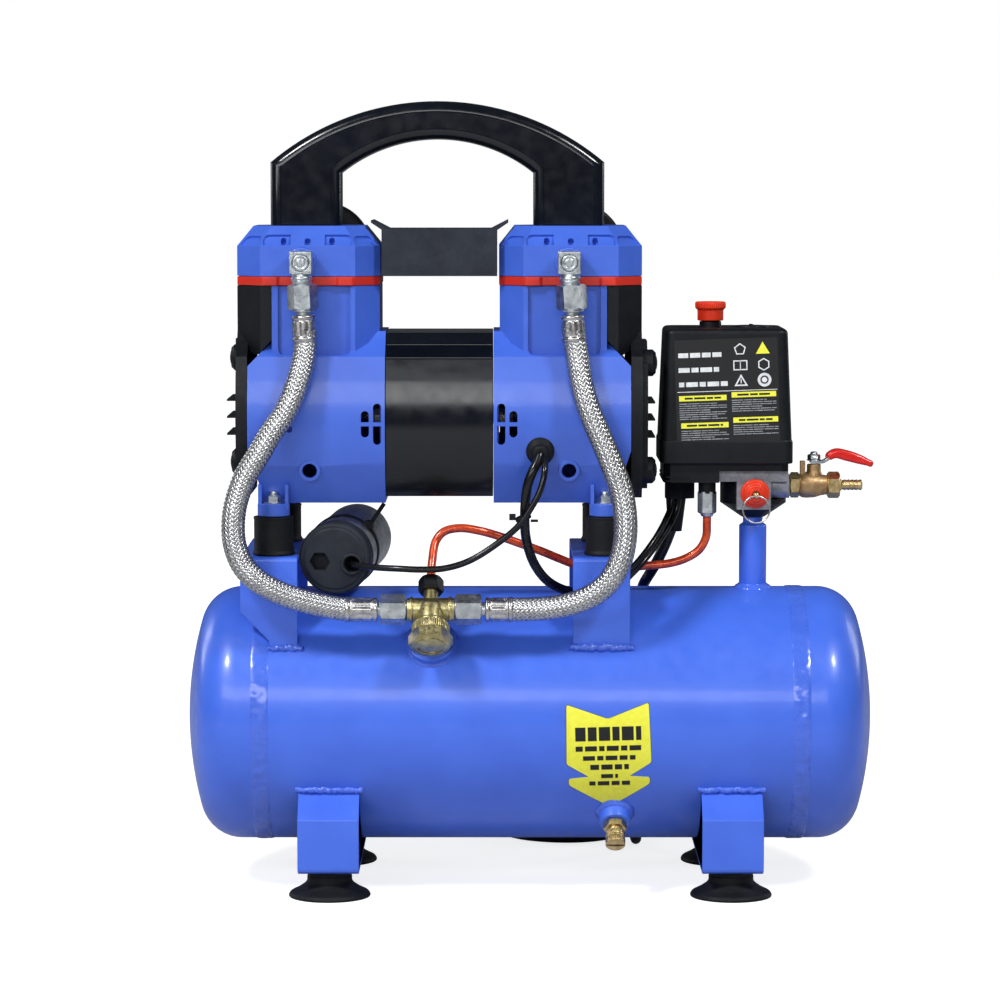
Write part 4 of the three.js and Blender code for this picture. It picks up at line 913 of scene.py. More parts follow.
def make_welds():
    """Welds under the saddles, over the foot straps and round the bosses and the post."""
    beads = []
    seat = TANK_Z + math.sqrt(TANK_R ** 2 - 64 ** 2) + 1.2
    for side in (-1, 1):
        beads.append(weld_bead((-163, side * 64.4, seat - 0.6), (-141, side * 64.4, seat - 0.6), 2.3,
                               1 + side))
        beads.append(weld_bead((24.5, side * 64.6, seat), (64, side * 64.6, seat), 2.4, 5 + side))
        for x in (-125, 125):
            beads.append(weld_bead((x - 21, side * 69.6, 67.6), (x + 21, side * 69.6, 67.6), 2.2,
                                   9 + side + x))
    beads.append(weld_ring(on_tank(-61.5, 40), out_of_tank(40), 15.2, 2.2, 3))
    beads.append(weld_ring(on_tank(52.6, -44), out_of_tank(-44), 9.8, 3.0, 8))
    beads.append(weld_ring(on_tank(141.5, 90), (0, 0, 1), 8.4, 3.6, 5))
    finish_piece("weld_beads", add(*beads), MAT["weld"], sharp=70)


def make_brackets():
    """The bent sheet straps and saddles."""
    for name in ("foot_strap_left", "foot_strap_right", "saddle_left", "saddle_right"):
        finish_piece(f"{name}_sheet", cad_copy(name), MAT["blue"], replaces=[name], bevel=0.8,
                     segments=3, angle=24)


def make_feet():
    """Rubber suction feet with a thin lip, a stem and a moulding line."""
    profile = rounded([
        (0, 4.5), (12, 3.2), (18, 1.4), (20, 0), (25.3, 0), (25.5, 1.3), (24.4, 3.0), (19.5, 5.4),
        (15.4, 8.2), (14, 10), (14, 13), (13.4, 13.5), (14, 14), (14, 16.7), (0, 16.7),
    ], 0.8, 3)
    for face in ("front", "rear"):
        for side in ("left", "right"):
            node = f"suction_foot_{face}_{side}"
            low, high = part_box(node)
            middle = TO_ROW.inverted() @ ((low + high) / 2)
            finish_piece(f"{node}_rubber", lathe(profile, (middle.x, middle.y, 0), segments=72),
                         MAT["rubber"], replaces=[node], sharp=50)


def make_rubber_mounts():
    """The four isolators with a lip at the foot, and the stud and nut that hold each lug down."""
    profile = rounded([(0, 212.3), (13.2, 212.3), (13.2, 213.6), (12.3, 215), (12.3, 234.4), (12.6, 235),
                       (12.6, 236), (0, 236)], 0.5, 3)
    for face in ("front", "rear"):
        for side in ("left", "right"):
            node = f"rubber_mount_{face}_{side}"
            low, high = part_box(node)
            middle = TO_ROW.inverted() @ ((low + high) / 2)
            x, y = middle.x, middle.y
            finish_piece(f"{node}_rubber", lathe(profile, (x, y, 0)), MAT["rubber"],
                         replaces=[node], sharp=50)
            fixing = add(rod(2.9, (x, y, 244), (x, y, 251.6), 28, edge=0.6),
                         nut(9.8, (x, y, 244.4), (x, y, 249)),
                         turned(disc_section(6.6, 244.2, 244.9), 0.2, 2, (x, y, 0), segments=40))
            finish_piece(f"lug_stud_{face}_{side}", fixing, MAT["zinc"])


def make_drain():
    """The drain's hexagonal fitting and its knurled, slotted screw."""
    out = out_of_tank(-44)
    at = lambda d: on_tank(52.6, -44, TANK_R + d)
    fitting = add(
        rod(5, at(3), at(9.2)), nut(13, at(8.9), at(13.2)),
        turned(tube_section(2.4, 4.8, 12.6, 15), 0.3, 2, at(0), out, 40),
    )
    finish_piece("drain_fitting_brass", fitting, MAT["brass"], replaces=["drain_fitting"])
    knob = turned([(0, 15.3), (5.8, 15.3), (6.2, 15.9), (6.2, 19), (5.5, 19.4), (5.5, 20.2), (6.2, 20.6),
                   (6.2, 24.4), (5.6, 25), (0, 25)], 0.2, 2, at(0), out, 120, (30, 0.3, 15.8, 24.5))
    slot = box(-8, 8, -0.8, 0.8, -2.5, 2.5)
    bmesh.ops.transform(slot, matrix=aim(at(25), out), verts=slot.verts)
    screw = add(boolean(knob, [slot]), rod(2, at(6), at(15.6), 24))
    finish_piece("drain_screw_brass", screw, MAT["brass"], body="drain_knob",
                 replaces=["drain_screw"])


# ------------------------------------------------------------------ pump

CASE_TOP = [(33, 53.5), (38.5, 46.2), (50.5, 38.5)]
HOUSING_FOOT = [(46, -44.5), (41.5, -53)]
COVER_FOOT = [(46, -44), (42, -49.7)]


def case_outline(inset, foot=HOUSING_FOOT):
    """The crankcase section in (Y, Z): flats joined by a shallow arc on each side."""
    bulge = []
    for i in range(17):
        t = i / 16
        z = 25 + (-29.4 - 25) * t
        bulge.append((54 + 4 * math.sin(math.pi * min(max((25 - z) / 54.4, 0), 1)), z))
    half = []
    for y, z in [*CASE_TOP, *bulge, *foot]:
        shrink = 1 - inset / math.hypot(y, z)
        half.append((y * shrink, z * shrink))
    return half + [(-y, z) for y, z in half[::-1]]


def head_plan(inset, outer=1e9):
    """The head's plan about its own pump, in (u, Y), with cut corners."""
    x0, x1 = HEAD_U - 44.5 + inset, min(outer, HEAD_U + 44.5 - inset)
    y, yc = 46 - inset, 32 - inset * 0.4
    c0, c1 = HEAD_U - 29.5 + inset * 0.4, HEAD_U + 29.5 - inset * 0.4
    far = [(c1, -y), (x1, -yc), (x1, yc), (c1, y)] if x1 > c1 else [(x1, -y), (x1, y)]
    return [(x0, -yc), (c0, -y), *far, (c0, y), (x0, yc)]


def slot_outline(u, half, low, high, round_top):
    """A slot with one square end and one round end."""
    if round_top:
        return [(u - half, low), (u + half, low), *arc((u, high - half), half, 0, 180, 10)]
    return [(u + half, high), (u - half, high), *arc((u, low + half), half, 180, 360, 10)]


def housing_mesh(lead_hole):
    """One crankcase casting with its cylinder block, on the +X side of the pump's centre."""
    silhouette = [(33.6, -70), (111, -70), (111, -44), (118.7, -19.6), (118.7, 32.6), (103.9, 48),
                  (103.9, 100), (33.6, 100)]
    case = boolean(prism(case_outline(0), "x", 33.6, 126), [prism(silhouette, "y", -70, 70)], "INTERSECT")
    tower = prism(head_plan(0.4, 103.9), "z", 30, 82)
    panel = rounded([(55, 120), (55, 39), (100, 39), (100, 120)], 5, 6)
    recesses = [prism(panel, "y", -60, -43.1), prism(panel, "y", 43.1, 60)]
    body = boolean(boolean(case, [tower], "UNION"), recesses)
    cutters = [prism(case_outline(4.5), "x", 37, 140),
               rod(33.8, (HEAD_U, 0, 20), (HEAD_U, 0, 100), 96, edge=0)]
    for y0, y1 in ((-70, -48), (48, 70)):
        for u, reach in ((38.4, 12.8), (45.9, 8.2)):
            cutters.append(prism(slot_outline(u, 2.5, -1.8, -3 + reach, True), "y", y0, y1))
            cutters.append(prism(slot_outline(u, 2.5, -3 - reach, -4.2, False), "y", y0, y1))
    cutters.append(rod(4.5, (80.4, -70, -32), (80.4, -45, -32), 40, edge=0))
    cutters.append(rod(2.1, (92.9, -70, -6), (92.9, -54, -6), 24, edge=0))
    if lead_hole:
        cutters.append(rod(7, (62.5, -70, -21.6), (62.5, -40, -17.5), 40, edge=0))
    body = boolean(body, cutters)
    lugs = []
    for side in (-1, 1):
        y = side * 46
        base = turned(tube_section(3.4, 10, -60.7, -52.8), 0.7, 3, (103.2, y, 0), segments=56)
        lugs.append(base)
        for ear in (-1, 1):
            u = 103.2 + ear * 8.3
            lugs.append(box(u - 1.1, u + 1.1, y - 5, y + 5, -56, -41))
        lugs.append(box(94, 112.4, side * 41.5 - 1.3, side * 41.5 + 1.3, -53.2, -41))
    rims = [turned([(4.5, 0), (6.9, 0), (6.7, 1.4), (5.0, 1.6), (4.5, 1.4), (4.5, 0)], 0.3, 2,
                   (80.4, -53.2, -32), (0, -1, -0.14), 56)]
    return body, lugs, rims


def make_housings():
    """Both crankcases: one mesh, mirrored for the left side."""
    for name, side, sign in (("right", 1, 1), ("left", -1, -1)):
        body, lugs, rims = housing_mesh(side > 0)
        extras = add(*lugs, *rims)
        if sign < 0:
            mirrored(body)
            mirrored(extras)
        finish_piece(f"pump_housing_{name}_casting", moved(body, PUMP), MAT["casting_blue"],
                     replaces=[f"pump_housing_{name}"], bevel=0.7, segments=2, angle=26)
        finish_piece(f"pump_lugs_{name}", moved(extras, PUMP), MAT["casting_blue"], bevel=0.4)


def make_motor_cover():
    """The gloss sheet round the stator, with two pressed ridges near its top."""
    outer = case_outline(1, COVER_FOOT)
    inner = case_outline(4, COVER_FOOT)
    rings = []
    for outline, x in ((outer, -33.3), (outer, 33.3), (inner, 33.3), (inner, -33.3)):
        rings.append([(x, a, b) for a, b in outline])
    ridges = []
    for y, z in ((37.6, 45.2), (49.4, 37.6)):
        for side in (-1, 1):
            ridges.append(sweep([Vector((x, side * y, z)) for x in (-33, -16, 0, 16, 33)], 1.1, 14))
    cover = add(loft(rings, caps=False), *ridges)
    finish_piece("stator_cover_sheet", moved(cover, PUMP), MAT["gloss"],
                 replaces=["stator_cover"], bevel=0.5, angle=20)


def roof_point(x, run, depth, way):
    """A point on the head's front roof slope: x along it, run up it from the eave, depth into it."""
    slope = Vector((0, 10.12, 12.4)).normalized()
    inward = Vector((0, 12.4, -10.12)).normalized()
    p = Vector((x, -46, 106.6)) + slope * run + inward * depth
    return Vector((p.x, p.y * way, p.z))


def roof_cut(outline, depth, way):
    """A pocket cutter in the roof slope, from an (x, run) outline."""
    return loft([[roof_point(x, run, d, way) for x, run in outline] for d in (-4, depth)])


def pocket_outline(x0, x1, low, high, arch):
    """A pocket whose upper corner on the arch side (-1 left, 1 right) is well rounded."""
    r = 4.2
    if arch < 0:
        return [(x0, low), (x1, low), (x1, high), *arc((x0 + r, high - r), r, 90, 180, 7)]
    return [(x0, low), (x1, low), *arc((x1 - r, high - r), r, 0, 90, 7), (x0, high)]


def head_mesh():
    """A cylinder head: cut-corner walls, a sloping roof with cast pockets, and a hollow underside."""
    plan = head_plan(0)
    shrink = lambda p, s: (HEAD_U + (p[0] - HEAD_U) * s, p[1] * s)
    rings = [[(*p, z) for p in plan] for z in (88.1, 106.6)]
    rings.append([(*shrink(p, 0.78), 119) for p in plan])
    body = loft(rings)
    cutters = []
    for way in (1, -1):
        for side in (-1, 1):
            low, high = sorted((side * 10.6, side * 27.6))
            cutters.append(roof_cut(pocket_outline(HEAD_U + low, HEAD_U + high, 0.9, 9.2, side), 1.6, way))
            x = HEAD_U + side * 15
            cutters.append(roof_cut(slot_outline(x, 1.7, 0.9, 8.0, True), 5.4, way))
        cutters.append(roof_cut(slot_outline(HEAD_U, 1.9, 0.9, 6.4, True), 3.4, way))
    for corner in (-1, 1):
        for way in (1, -1):
            cutters.append(corner_cut(corner, way))
    for side in (-1, 1):
        low, high = sorted((side * 3, side * 33))
        cutters.append(box(HEAD_U - 30, HEAD_U + 30, low, high, 80, 103))
    return boolean(body, cutters)


def corner_cut(corner, way):
    """The arched pocket in a cut corner's roof."""
    a = Vector((HEAD_U + corner * 29.5, -46 * way, 106.6))
    b = Vector((HEAD_U + corner * 44.5, -32 * way, 106.6))
    top = Vector((HEAD_U + corner * 29.5 * 0.78, -46 * 0.78 * way, 119))
    along = (b - a).normalized()
    normal = along.cross(top - a).normalized()
    if normal.z < 0:
        normal = -normal
    up = normal.cross(along).normalized()
    if up.z < 0:
        up = -up
    width = (b - a).length
    outline = [(2.2, 0.9), (width - 2.2, 0.9), *arc((width - 6.8, 4.4), 4.2, 0, 90, 7),
               *arc((6.8, 4.4), 4.2, 90, 180, 7)]
    return loft([[a + along * s + up * r - normal * d for s, r in outline] for d in (-4, 1.3)])


def make_heads():
    """Both cylinder heads, with the hose port in front and the filter's seat behind."""
    for name, side, elbow_x in (("right", 1, 23.8), ("left", -1, -141.5)):
        body = head_mesh()
        if side < 0:
            mirrored(body)
        port_x = elbow_x - PUMP.x
        filter_x = side * HEAD_U + 5
        body = boolean(body, [rod(6.3, (port_x, -60, 96.8), (port_x, -25, 96.8), 40, edge=0),
                              rod(14.3, (filter_x, 25, 102), (filter_x, 60, 102), 48, edge=0)])
        finish_piece(f"cylinder_head_{name}_casting", moved(body, PUMP), MAT["casting_blue"],
                     replaces=[f"cylinder_head_{name}"], bevel=0.8, segments=3, angle=28)
        collar = turned([(6.2, 0), (9.4, 0), (8.8, 1.2), (6.2, 1.2), (6.2, 0)], 0.3, 2,
                        (elbow_x, -46.0, ELBOW_Z), (0, -1, 0), 48)
        finish_piece(f"head_port_rim_{name}", collar, MAT["casting_blue"])


def make_valve_plates():
    """The red plates under the heads, with a swelling at each head screw."""
    swelling = [(-6, 46), (-4.2, 47.4), (4.2, 47.4), (6, 46)]
    for name, side in (("right", 1), ("left", -1)):
        plan = []
        for i, (u, y) in enumerate(head_plan(0)):
            plan.append((u, y))
            if i in (1, 5):
                way = 1 if i == 1 else -1
                for centre in (-23.5, 23.5):
                    plan += [(HEAD_U + way * (centre + a), -way * b) for a, b in swelling]
        plate = prism(plan, "z", 82.3, 87.8)
        if side < 0:
            mirrored(plate)
        finish_piece(f"valve_plate_{name}_red", moved(plate, PUMP), MAT["red"],
                     replaces=[f"valve_plate_{name}"], bevel=0.6)


def make_handle():
    """The carrying handle: an arch on two posts with rolled edges and a slightly sunk face on each side."""
    outer, inner, foot = 104.6, 60.2, 119.3
    over = arch_points(outer, 158.5, 196.6, 40)
    under = arch_points(inner, 151.8, 172.8, 32)
    outline = [(outer, foot), *over, (-outer, foot), (-inner, foot), *under[::-1], (inner, foot)]
    bm = prism(outline, "y", -17, 17)
    faces = [f for f in bm.faces if abs(f.normal.y) > 0.9]
    rims = list({e for f in faces for e in f.edges if (e.verts[0].co.z + e.verts[1].co.z) / 2 > foot + 0.1})
    bmesh.ops.bevel(bm, geom=rims, offset=6.2, segments=7, profile=0.5, affect="EDGES", clamp_overlap=True)
    faces = [f for f in bm.faces if abs(f.normal.y) > 0.999 and f.calc_area() > 900]
    bmesh.ops.inset_region(bm, faces=faces, thickness=0.5, depth=-0.45, use_even_offset=True)
    finish_piece("handle_grip", moved(bm, PUMP + Vector((-1.6, 0, 0))), MAT["gloss"],
                 replaces=["handle"], sharp=24)


def arch_points(half, low, high, steps):
    """Points from +half to -half on the arc that rises from low to high."""
    rise = high - low
    radius = (half ** 2 + rise ** 2) / (2 * rise)
    angle = math.degrees(math.asin(half / radius))
    return arc((0, high - radius), radius, 90 - angle, 90 + angle, steps)


def make_link_plate():
    """The bent sheet between the two heads."""
    finish_piece("link_plate_sheet", cad_copy("link_plate"), MAT["sheet"],
                 replaces=["link_plate"], bevel=0.5, segments=2, angle=20)


def make_end_covers():
    """The end covers with their fins, and the two cross-head screws in each."""
    for name, side in (("left", -1), ("right", 1)):
        node = f"end_cover_{name}"
        finish_piece(f"{node}_moulding", cad_copy(node), MAT["plastic"], replaces=[node],
                     bevel=0.6, segments=2, angle=26)
        screws = []
        x, y = side * 134.5, side * -36
        for z in (34, -33):
            head = turned([(0, -0.5), (4.1, -0.5), (4.1, 0.6), (0, 1.3)], 0.5, 3, (x, y, z), (side, 0, 0), 36)
            cross = []
            for half_y, half_z in ((2.4, 0.45), (0.45, 2.4)):
                bar_cut = box(x - 1.6, x + 1.6, y - half_y, y + half_y, z - half_z, z + half_z)
                cross.append(moved(bar_cut, (side * 1.4, 0, 0)))
            screws.append(boolean(head, cross))
        finish_piece(f"end_cover_screws_{name}", moved(add(*screws), PUMP), MAT["black_nut"])


def make_air_filters():
    """Round intake filters behind the heads: a ribbed drum with a domed cap."""
    profile = rounded([(0, 36), (13.8, 36), (13.8, 52), (29.6, 52), (31, 53.4), (31, 71), (29.4, 72.4),
                       (29.4, 74.4), (28, 76), (28, 79), (26.4, 80), (0, 80)], 0.6, 3)
    for name, side in (("left", -1), ("right", 1)):
        node = f"air_filter_{name}"
        at = PUMP + Vector((side * HEAD_U + 5, 0, 102))
        drum = lathe(profile, at, (0, 1, 0), 144, (36, 0.7, 54, 70))
        finish_piece(f"{node}_drum", drum, MAT["plastic"], replaces=[node])


def dress_internals():
    """Hidden CAD parts keep their meshes and get smooth shading, sharp edges by angle and their own
    materials.
    """
    finishes = {
        "steel": ("rotor", "bearing_left", "bearing_right"),
        "iron": ("stator_core",),
        "aluminium": ("piston_rod_left", "piston_rod_right", "cylinder_sleeve_left", "cylinder_sleeve_right"),
        "plastic": ("fan_left", "fan_right"),
    }
    for key, names in finishes.items():
        for name in names:
            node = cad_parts[name]
            node.data.materials.clear()
            node.data.materials.append(MAT[key])
            node.data.shade_smooth()
            node.data.set_sharp_from_angle(angle=math.radians(35))


# ------------------------------------------------------------------ hoses and tubes

LEFT_HOSE = [
    (-139.2, -57, 352), (-139, -57, 343.5), (-140, -60, 333.4), (-142.3, -64, 323.8), (-146.4, -68, 311.9),
    (-152, -70, 300.4), (-159.4, -72, 289.6), (-168.1, -74, 274.9), (-175.4, -75, 262.9),
    (-179.2, -76, 253.2), (-181.7, -78, 243.5), (-182.7, -79, 232.3), (-181.6, -80, 221),
    (-176.7, -81, 208.9), (-168.7, -82, 200.3), (-156.4, -81, 192.8), (-144.8, -80, 188.2),
    (-129.8, -79, 184.2), (-117, -77.8, 181.8), (-108, -77.5, 181.2),
]
RIGHT_HOSE = [
    (26.4, -57, 352), (27.4, -57, 345), (29.2, -60, 333.4), (31.4, -65, 319.5), (35.2, -69, 305.6),
    (40.3, -71, 293), (46.3, -73, 279.1), (51.9, -75, 265.1), (55.6, -76, 254.6), (57.6, -78, 243.5),
    (58.3, -80, 232), (57.4, -81, 221.6), (54.9, -82, 211.4), (48.6, -82, 199.4), (38.4, -81, 190.6),
    (24.8, -80, 184.9), (11, -78.4, 182.2), (-4, -77.6, 181.3), (-16, -77.5, 181.2),
]


def braid(path, radius, carriers=20, pitch_angle=38.0):
    """Interlaced wire strands on a tube, two over and two under, as lens-shaped ribbons."""
    rings = frames(path)
    step = (path[1] - path[0]).length
    turn_rate = math.tan(math.radians(pitch_angle)) / radius
    half_width = math.pi * radius / carriers * math.cos(math.radians(pitch_angle)) * 0.8
    bm = bmesh.new()
    layer = bm.verts.layers.float.new("across")
    for hand in (1, -1):
        for strand in range(carriers):
            previous = None
            for i, (point, side, over, tangent) in enumerate(rings):
                along = i * step
                angle = 2 * math.pi * strand / carriers + hand * turn_rate * along
                crossing = turn_rate * along * carriers / math.pi
                wave = math.cos(math.pi / 2 * (2 * strand + hand * crossing) - math.pi / 4) * 1.42
                lift = 0.3 * hand * max(-1.0, min(1.0, wave))
                out = side * math.cos(angle) + over * math.sin(angle)
                around = tangent.cross(out)
                course = (tangent * math.cos(math.radians(pitch_angle))
                          + around * (hand * math.sin(math.radians(pitch_angle))))
                width = course.cross(out).normalized() * half_width
                base = point + out * (radius + lift)
                row = []
                for offset, height, share in ((-1, -0.16, 0.0), (0, 0.3, 0.5), (1, -0.16, 1.0),
                                              (0, -0.3, 0.5)):
                    vert = bm.verts.new(base + width * offset + out * height)
                    vert[layer] = share
                    row.append(vert)
                if previous:
                    bridge(bm, previous, row)
                else:
                    bm.faces.new(row)
                previous = row
            bm.faces.new(previous)
    bmesh.ops.recalc_face_normals(bm, faces=bm.faces)
    return bm


def ferrule(start, end):
    """A crimped hose end: a rolled rim, eight pressed flats and a second rim on the braid."""
    along = Vector(end) - Vector(start)
    length = along.length
    profile = rounded([(4.2, 0), (6.6, 0), (7.5, 0.7), (7.5, 2.4), (6.7, 3.1), (7.3, 4.0),
                       (7.4, length - 4.4), (6.9, length - 3.4), (7.9, length - 2.4), (7.9, length - 0.8),
                       (7.2, length), (4.2, length), (4.2, 0)], 0.4, 2)
    dense = []
    for (r0, h0), (r1, h1) in zip(profile, profile[1:]):
        cuts = max(1, int(abs(h1 - h0) / 1.0))
        dense += [(r0 + (r1 - r0) * k / cuts, h0 + (h1 - h0) * k / cuts) for k in range(cuts)]
    return lathe([*dense, profile[-1]][:-1], start, along, 96, (8, 0.75, 4.0, length - 4.2))


def hose_top(elbow_x, ferrule_x, z):
    share = (ELBOW_Z - z) / (ELBOW_Z - 353)
    return Vector((elbow_x + (ferrule_x - elbow_x) * share, HOSE_Y, z))


def make_hose(name, route, elbow_x, ferrule_x, tail_ferrule, tail_nut):
    """One delivery hose with its elbow, union nuts, crimped ferrules and braid."""
    path = spline(route, 0.74)
    finish_piece(f"hose_braid_{name}", braid(path, 6.75), MAT["wire"],
                 replaces=[f"braided_hose_{name}"], sharp=75)
    finish_piece(f"hose_core_{name}", sweep(path[::4] + [path[-1]], 6.35, 32), MAT["dark"])
    top = lambda z: hose_top(elbow_x, ferrule_x, z)
    tail = lambda x: Vector((x, *HOSE_TAIL))
    side = 1 if tail_nut[1] > tail_nut[0] else -1
    crimps = add(ferrule(top(361.5), top(345.2)), ferrule(tail(tail_ferrule[1]), tail(tail_ferrule[0])))
    finish_piece(f"hose_ferrules_{name}", crimps, MAT["steel"], sharp=60)
    nuts = add(
        nut(16.5, top(380.4), top(364.8), 1.3), rod(4.4, top(366), top(359)),
        nut(16.5, tail(tail_nut[0]), tail(tail_nut[1]), 1.3),
        rod(4.4, tail(tail_ferrule[1] - side), tail(tail_nut[0] + side)),
        turned(tube_section(4.4, 7.6, 0, 1.1), 0.3, 2, top(364.9), (0, 0, -1), 40),
    )
    finish_piece(f"hose_nuts_{name}", nuts, MAT["zinc"])
    make_elbow(name, elbow_x, ferrule_x)


def make_elbow(name, x, ferrule_x):
    """The square elbow with its blanking screw in front and its cone below."""
    z = ELBOW_Z
    block = box(x - 7, x + 7, -64, -50, z - 7, z + 7)
    block = boolean(block, [rod(5.3, (x, -70, z), (x, -62.8, z), 48, edge=0)])
    face = [(0, 0), (5.1, 0), (5.1, 1.5), (4.5, 2.1), (3.6, 2.1), (3.4, 1.7), (2.7, 1.7), (2.5, 2.1),
            (0, 2.1)]
    plug = turned(face, 0.15, 2, (x, -62.6, z), (0, -1, 0), 56)
    plug = boolean(plug, [box(x - 0.55, x + 0.55, -66, -64.1, z - 2.4, z + 2.4)])
    low = hose_top(x, ferrule_x, 380.2)
    neck = turned([(0, 0), (6, 0), (6, 3), (6.7, 3.6), (6.7, 5.2), (6, 5.8), (6, 8), (0, 8)], 0.3, 2,
                  (x, HOSE_Y, z - 5.6), low - Vector((x, HOSE_Y, z - 5.6)), 48)
    made = finish_piece(f"hose_elbow_{name}_block", block, MAT["zinc"],
                        replaces=[f"hose_elbow_{name}"], bevel=1.1, segments=3)
    turned_parts = add(plug, neck, rod(6, (x, -51, z), (x, -28, z), 48),
                       rod(4.6, low + Vector((0, 0, 2)), low, 32))
    fittings = finish_piece(f"hose_elbow_{name}_fittings", turned_parts, MAT["zinc"])
    fittings.parent = made
    fittings.matrix_parent_inverse = made.matrix_world.inverted()


def make_check_valve():
    """The brass check valve: body across the boss, two hose ports, a knurled hexagonal cap."""
    out = out_of_tank(40)
    back = Vector((0, out.z, -out.y))
    centre = on_tank(-61.5, 40, TANK_R + 27)
    at = lambda s: centre + back * s
    down = lambda d: centre - out * d
    tee = at(7)
    port = lambda x: Vector((tee.x + x, tee.y, tee.z))
    body_profile = rounded([(0, -5), (8.4, -5), (9.2, -3.6), (9.2, 7), (7.6, 10), (4.6, 11.4), (4.6, 22),
                            (0, 22)], 1.2, 4)
    body = [
        lathe(body_profile, centre, back, 72),
        rod(7.2, port(-14.7), port(14.7), 48, edge=0.6),
        turned(tube_section(7.2, 8.1, -12.6, -11), 0.3, 2, tee, (1, 0, 0), 48),
        turned(tube_section(7.2, 8.1, 11, 12.6), 0.3, 2, tee, (1, 0, 0), 48),
        rod(8.6, down(16), down(4), 48, end_radius=9.4, edge=0.5),
        nut(17, down(22.7), down(14), 1.2),
        rod(6.2, down(27), down(21), 40),
    ]
    finish_piece("check_valve_body", add(*body), MAT["pale_brass"], replaces=["check_valve"],
                 sharp=45)
    flats = 27 * math.sqrt(3) / 2
    cap = [nut(flats, at(-20), at(-11.5), 1.6),
           turned([(0, -11.7), (11.6, -11.7), (12.0, -11), (12.0, -6.4), (11.4, -5.6), (0, -5.6)], 0.3, 2,
                  centre, back, 160, (52, 0.45, -11.2, -6.2)),
           turned(disc_section(10.6, -5.8, -3.4), 0.4, 2, centre, back, 64),
           turned(tube_section(8.2, 9.4, -20.5, -19.8), 0.15, 2, centre, back, 64)]
    finish_piece("check_valve_cap", add(*cap), MAT["pale_brass"])
    return at


def make_unloader_tube(valve_at):
    """The lacquered copper line from the check valve to the switch, with its nuts."""
    x, y = 111.3, -20
    route = [
        valve_at(27), valve_at(33), (-60.9, -55.5, 209.5), (-58.6, -48, 221), (-53.6, -46, 226.4),
        (-44, -44.6, 228.4), (-31, -42.6, 226.4), (-18.8, -40, 222.7), (-6, -37, 217.9), (6.3, -34, 213.2),
        (17, -30, 208.4), (27.1, -26, 204.1), (37.6, -22.4, 201.2), (48.7, -20, 200.2), (70.7, -20, 202.1),
        (88.4, -20, 204), (98.5, -20, 207.2), (106.6, -20, 212.6), (110.8, -20, 220.6), (x, y, 229),
        (x, y, 237),
    ]
    finish_piece("unloader_line", sweep(spline(route, 1.6), 2.65, 28), MAT["copper"],
                 replaces=["unloader_tube"])
    lower = add(nut(13.6, valve_at(19.5), valve_at(29.1), 1.1),
                rod(4.4, valve_at(28.8), valve_at(31.4), 36, end_radius=3.4))
    finish_piece("unloader_nut_lower", lower, MAT["black_nut"])
    upper = add(nut(10.4, (x, y, 235.5), (x, y, 249.8), 0.9), rod(4.8, (x, y, 249.4), (x, y, 255.8), 36),
                rod(3.6, (x, y, 233.6), (x, y, 235.4), 32, end_radius=4.4))
    finish_piece("unloader_nut_upper", upper, MAT["zinc"])


# ------------------------------------------------------------------ capacitor and leads

def make_capacitor():
    """The run capacitor: a drawn can in a grained boot with a hexagonal recess and a lead grommet."""
    turn = Matrix.Translation((-122, -50, 209.6)) @ Matrix.Rotation(-math.radians(7), 4, "Z")
    turn = turn @ Matrix.Rotation(math.radians(3), 4, "X")
    boot = turned([(0, 0), (18.6, 0), (19.4, 0.7), (21.2, 0.7), (22.6, 2.4), (22.6, 14.4), (22.2, 15),
                   (0, 15)], 0.9, 4,
                  (0, 0, 0), (0, 1, 0), 96)
    boot = boolean(boot,
                   [nut(11.3, (-9.2, -1, -1.8), (-9.2, 8, -1.8), 0),
                    rod(5, (11.1, -1, -3), (11.1, 12, -3), 40, edge=0)])
    collar = turned([(4.8, 0), (6.8, 0), (7.0, -1.6), (6.2, -2.4), (5.2, -2.2), (4.8, 0)], 0.4, 3,
                    (11.1, 0.4, -3), (0, 1, 0), 48)
    case = add(boot, collar)
    bmesh.ops.transform(case, matrix=turn, verts=case.verts)
    finish_piece("capacitor_boot", case, MAT["boot"], replaces=["capacitor"], sharp=40)
    can = turned([(0, 14), (22, 14), (22, 91), (20.8, 92.2), (20.8, 93), (21.6, 93.6), (21.6, 95), (0, 95)],
                 0.7, 3, (0, 0, 0), (0, 1, 0), 96)
    bmesh.ops.transform(can, matrix=turn, verts=can.verts)
    finish_piece("capacitor_can", can, MAT["can"])
    strap = ring_band(22.1, 22.9, 2.4, 35)
    lock = box(14.2, 19.2, 32, 38, 14.2, 19.4)
    tail = box(-1.3, 1.3, -1.2, 1.2, 0, 16)
    lean = Matrix.Translation((17.4, 35, 17)) @ Matrix.Rotation(math.radians(34), 4, "Y")
    bmesh.ops.transform(tail, matrix=lean, verts=tail.verts)
    tie = add(strap, lock, tail)
    bmesh.ops.transform(tie, matrix=turn, verts=tie.verts)
    finish_piece("capacitor_tie", tie, MAT["plastic"], bevel=0.25)


def ring_band(inner, outer, half, y):
    """A flat band round the Y axis, centred at a distance along it."""
    return lathe([(inner, y - half), (outer, y - half), (outer, y + half), (inner, y + half)], (0, 0, 0),
                 (0, 1, 0), 72)


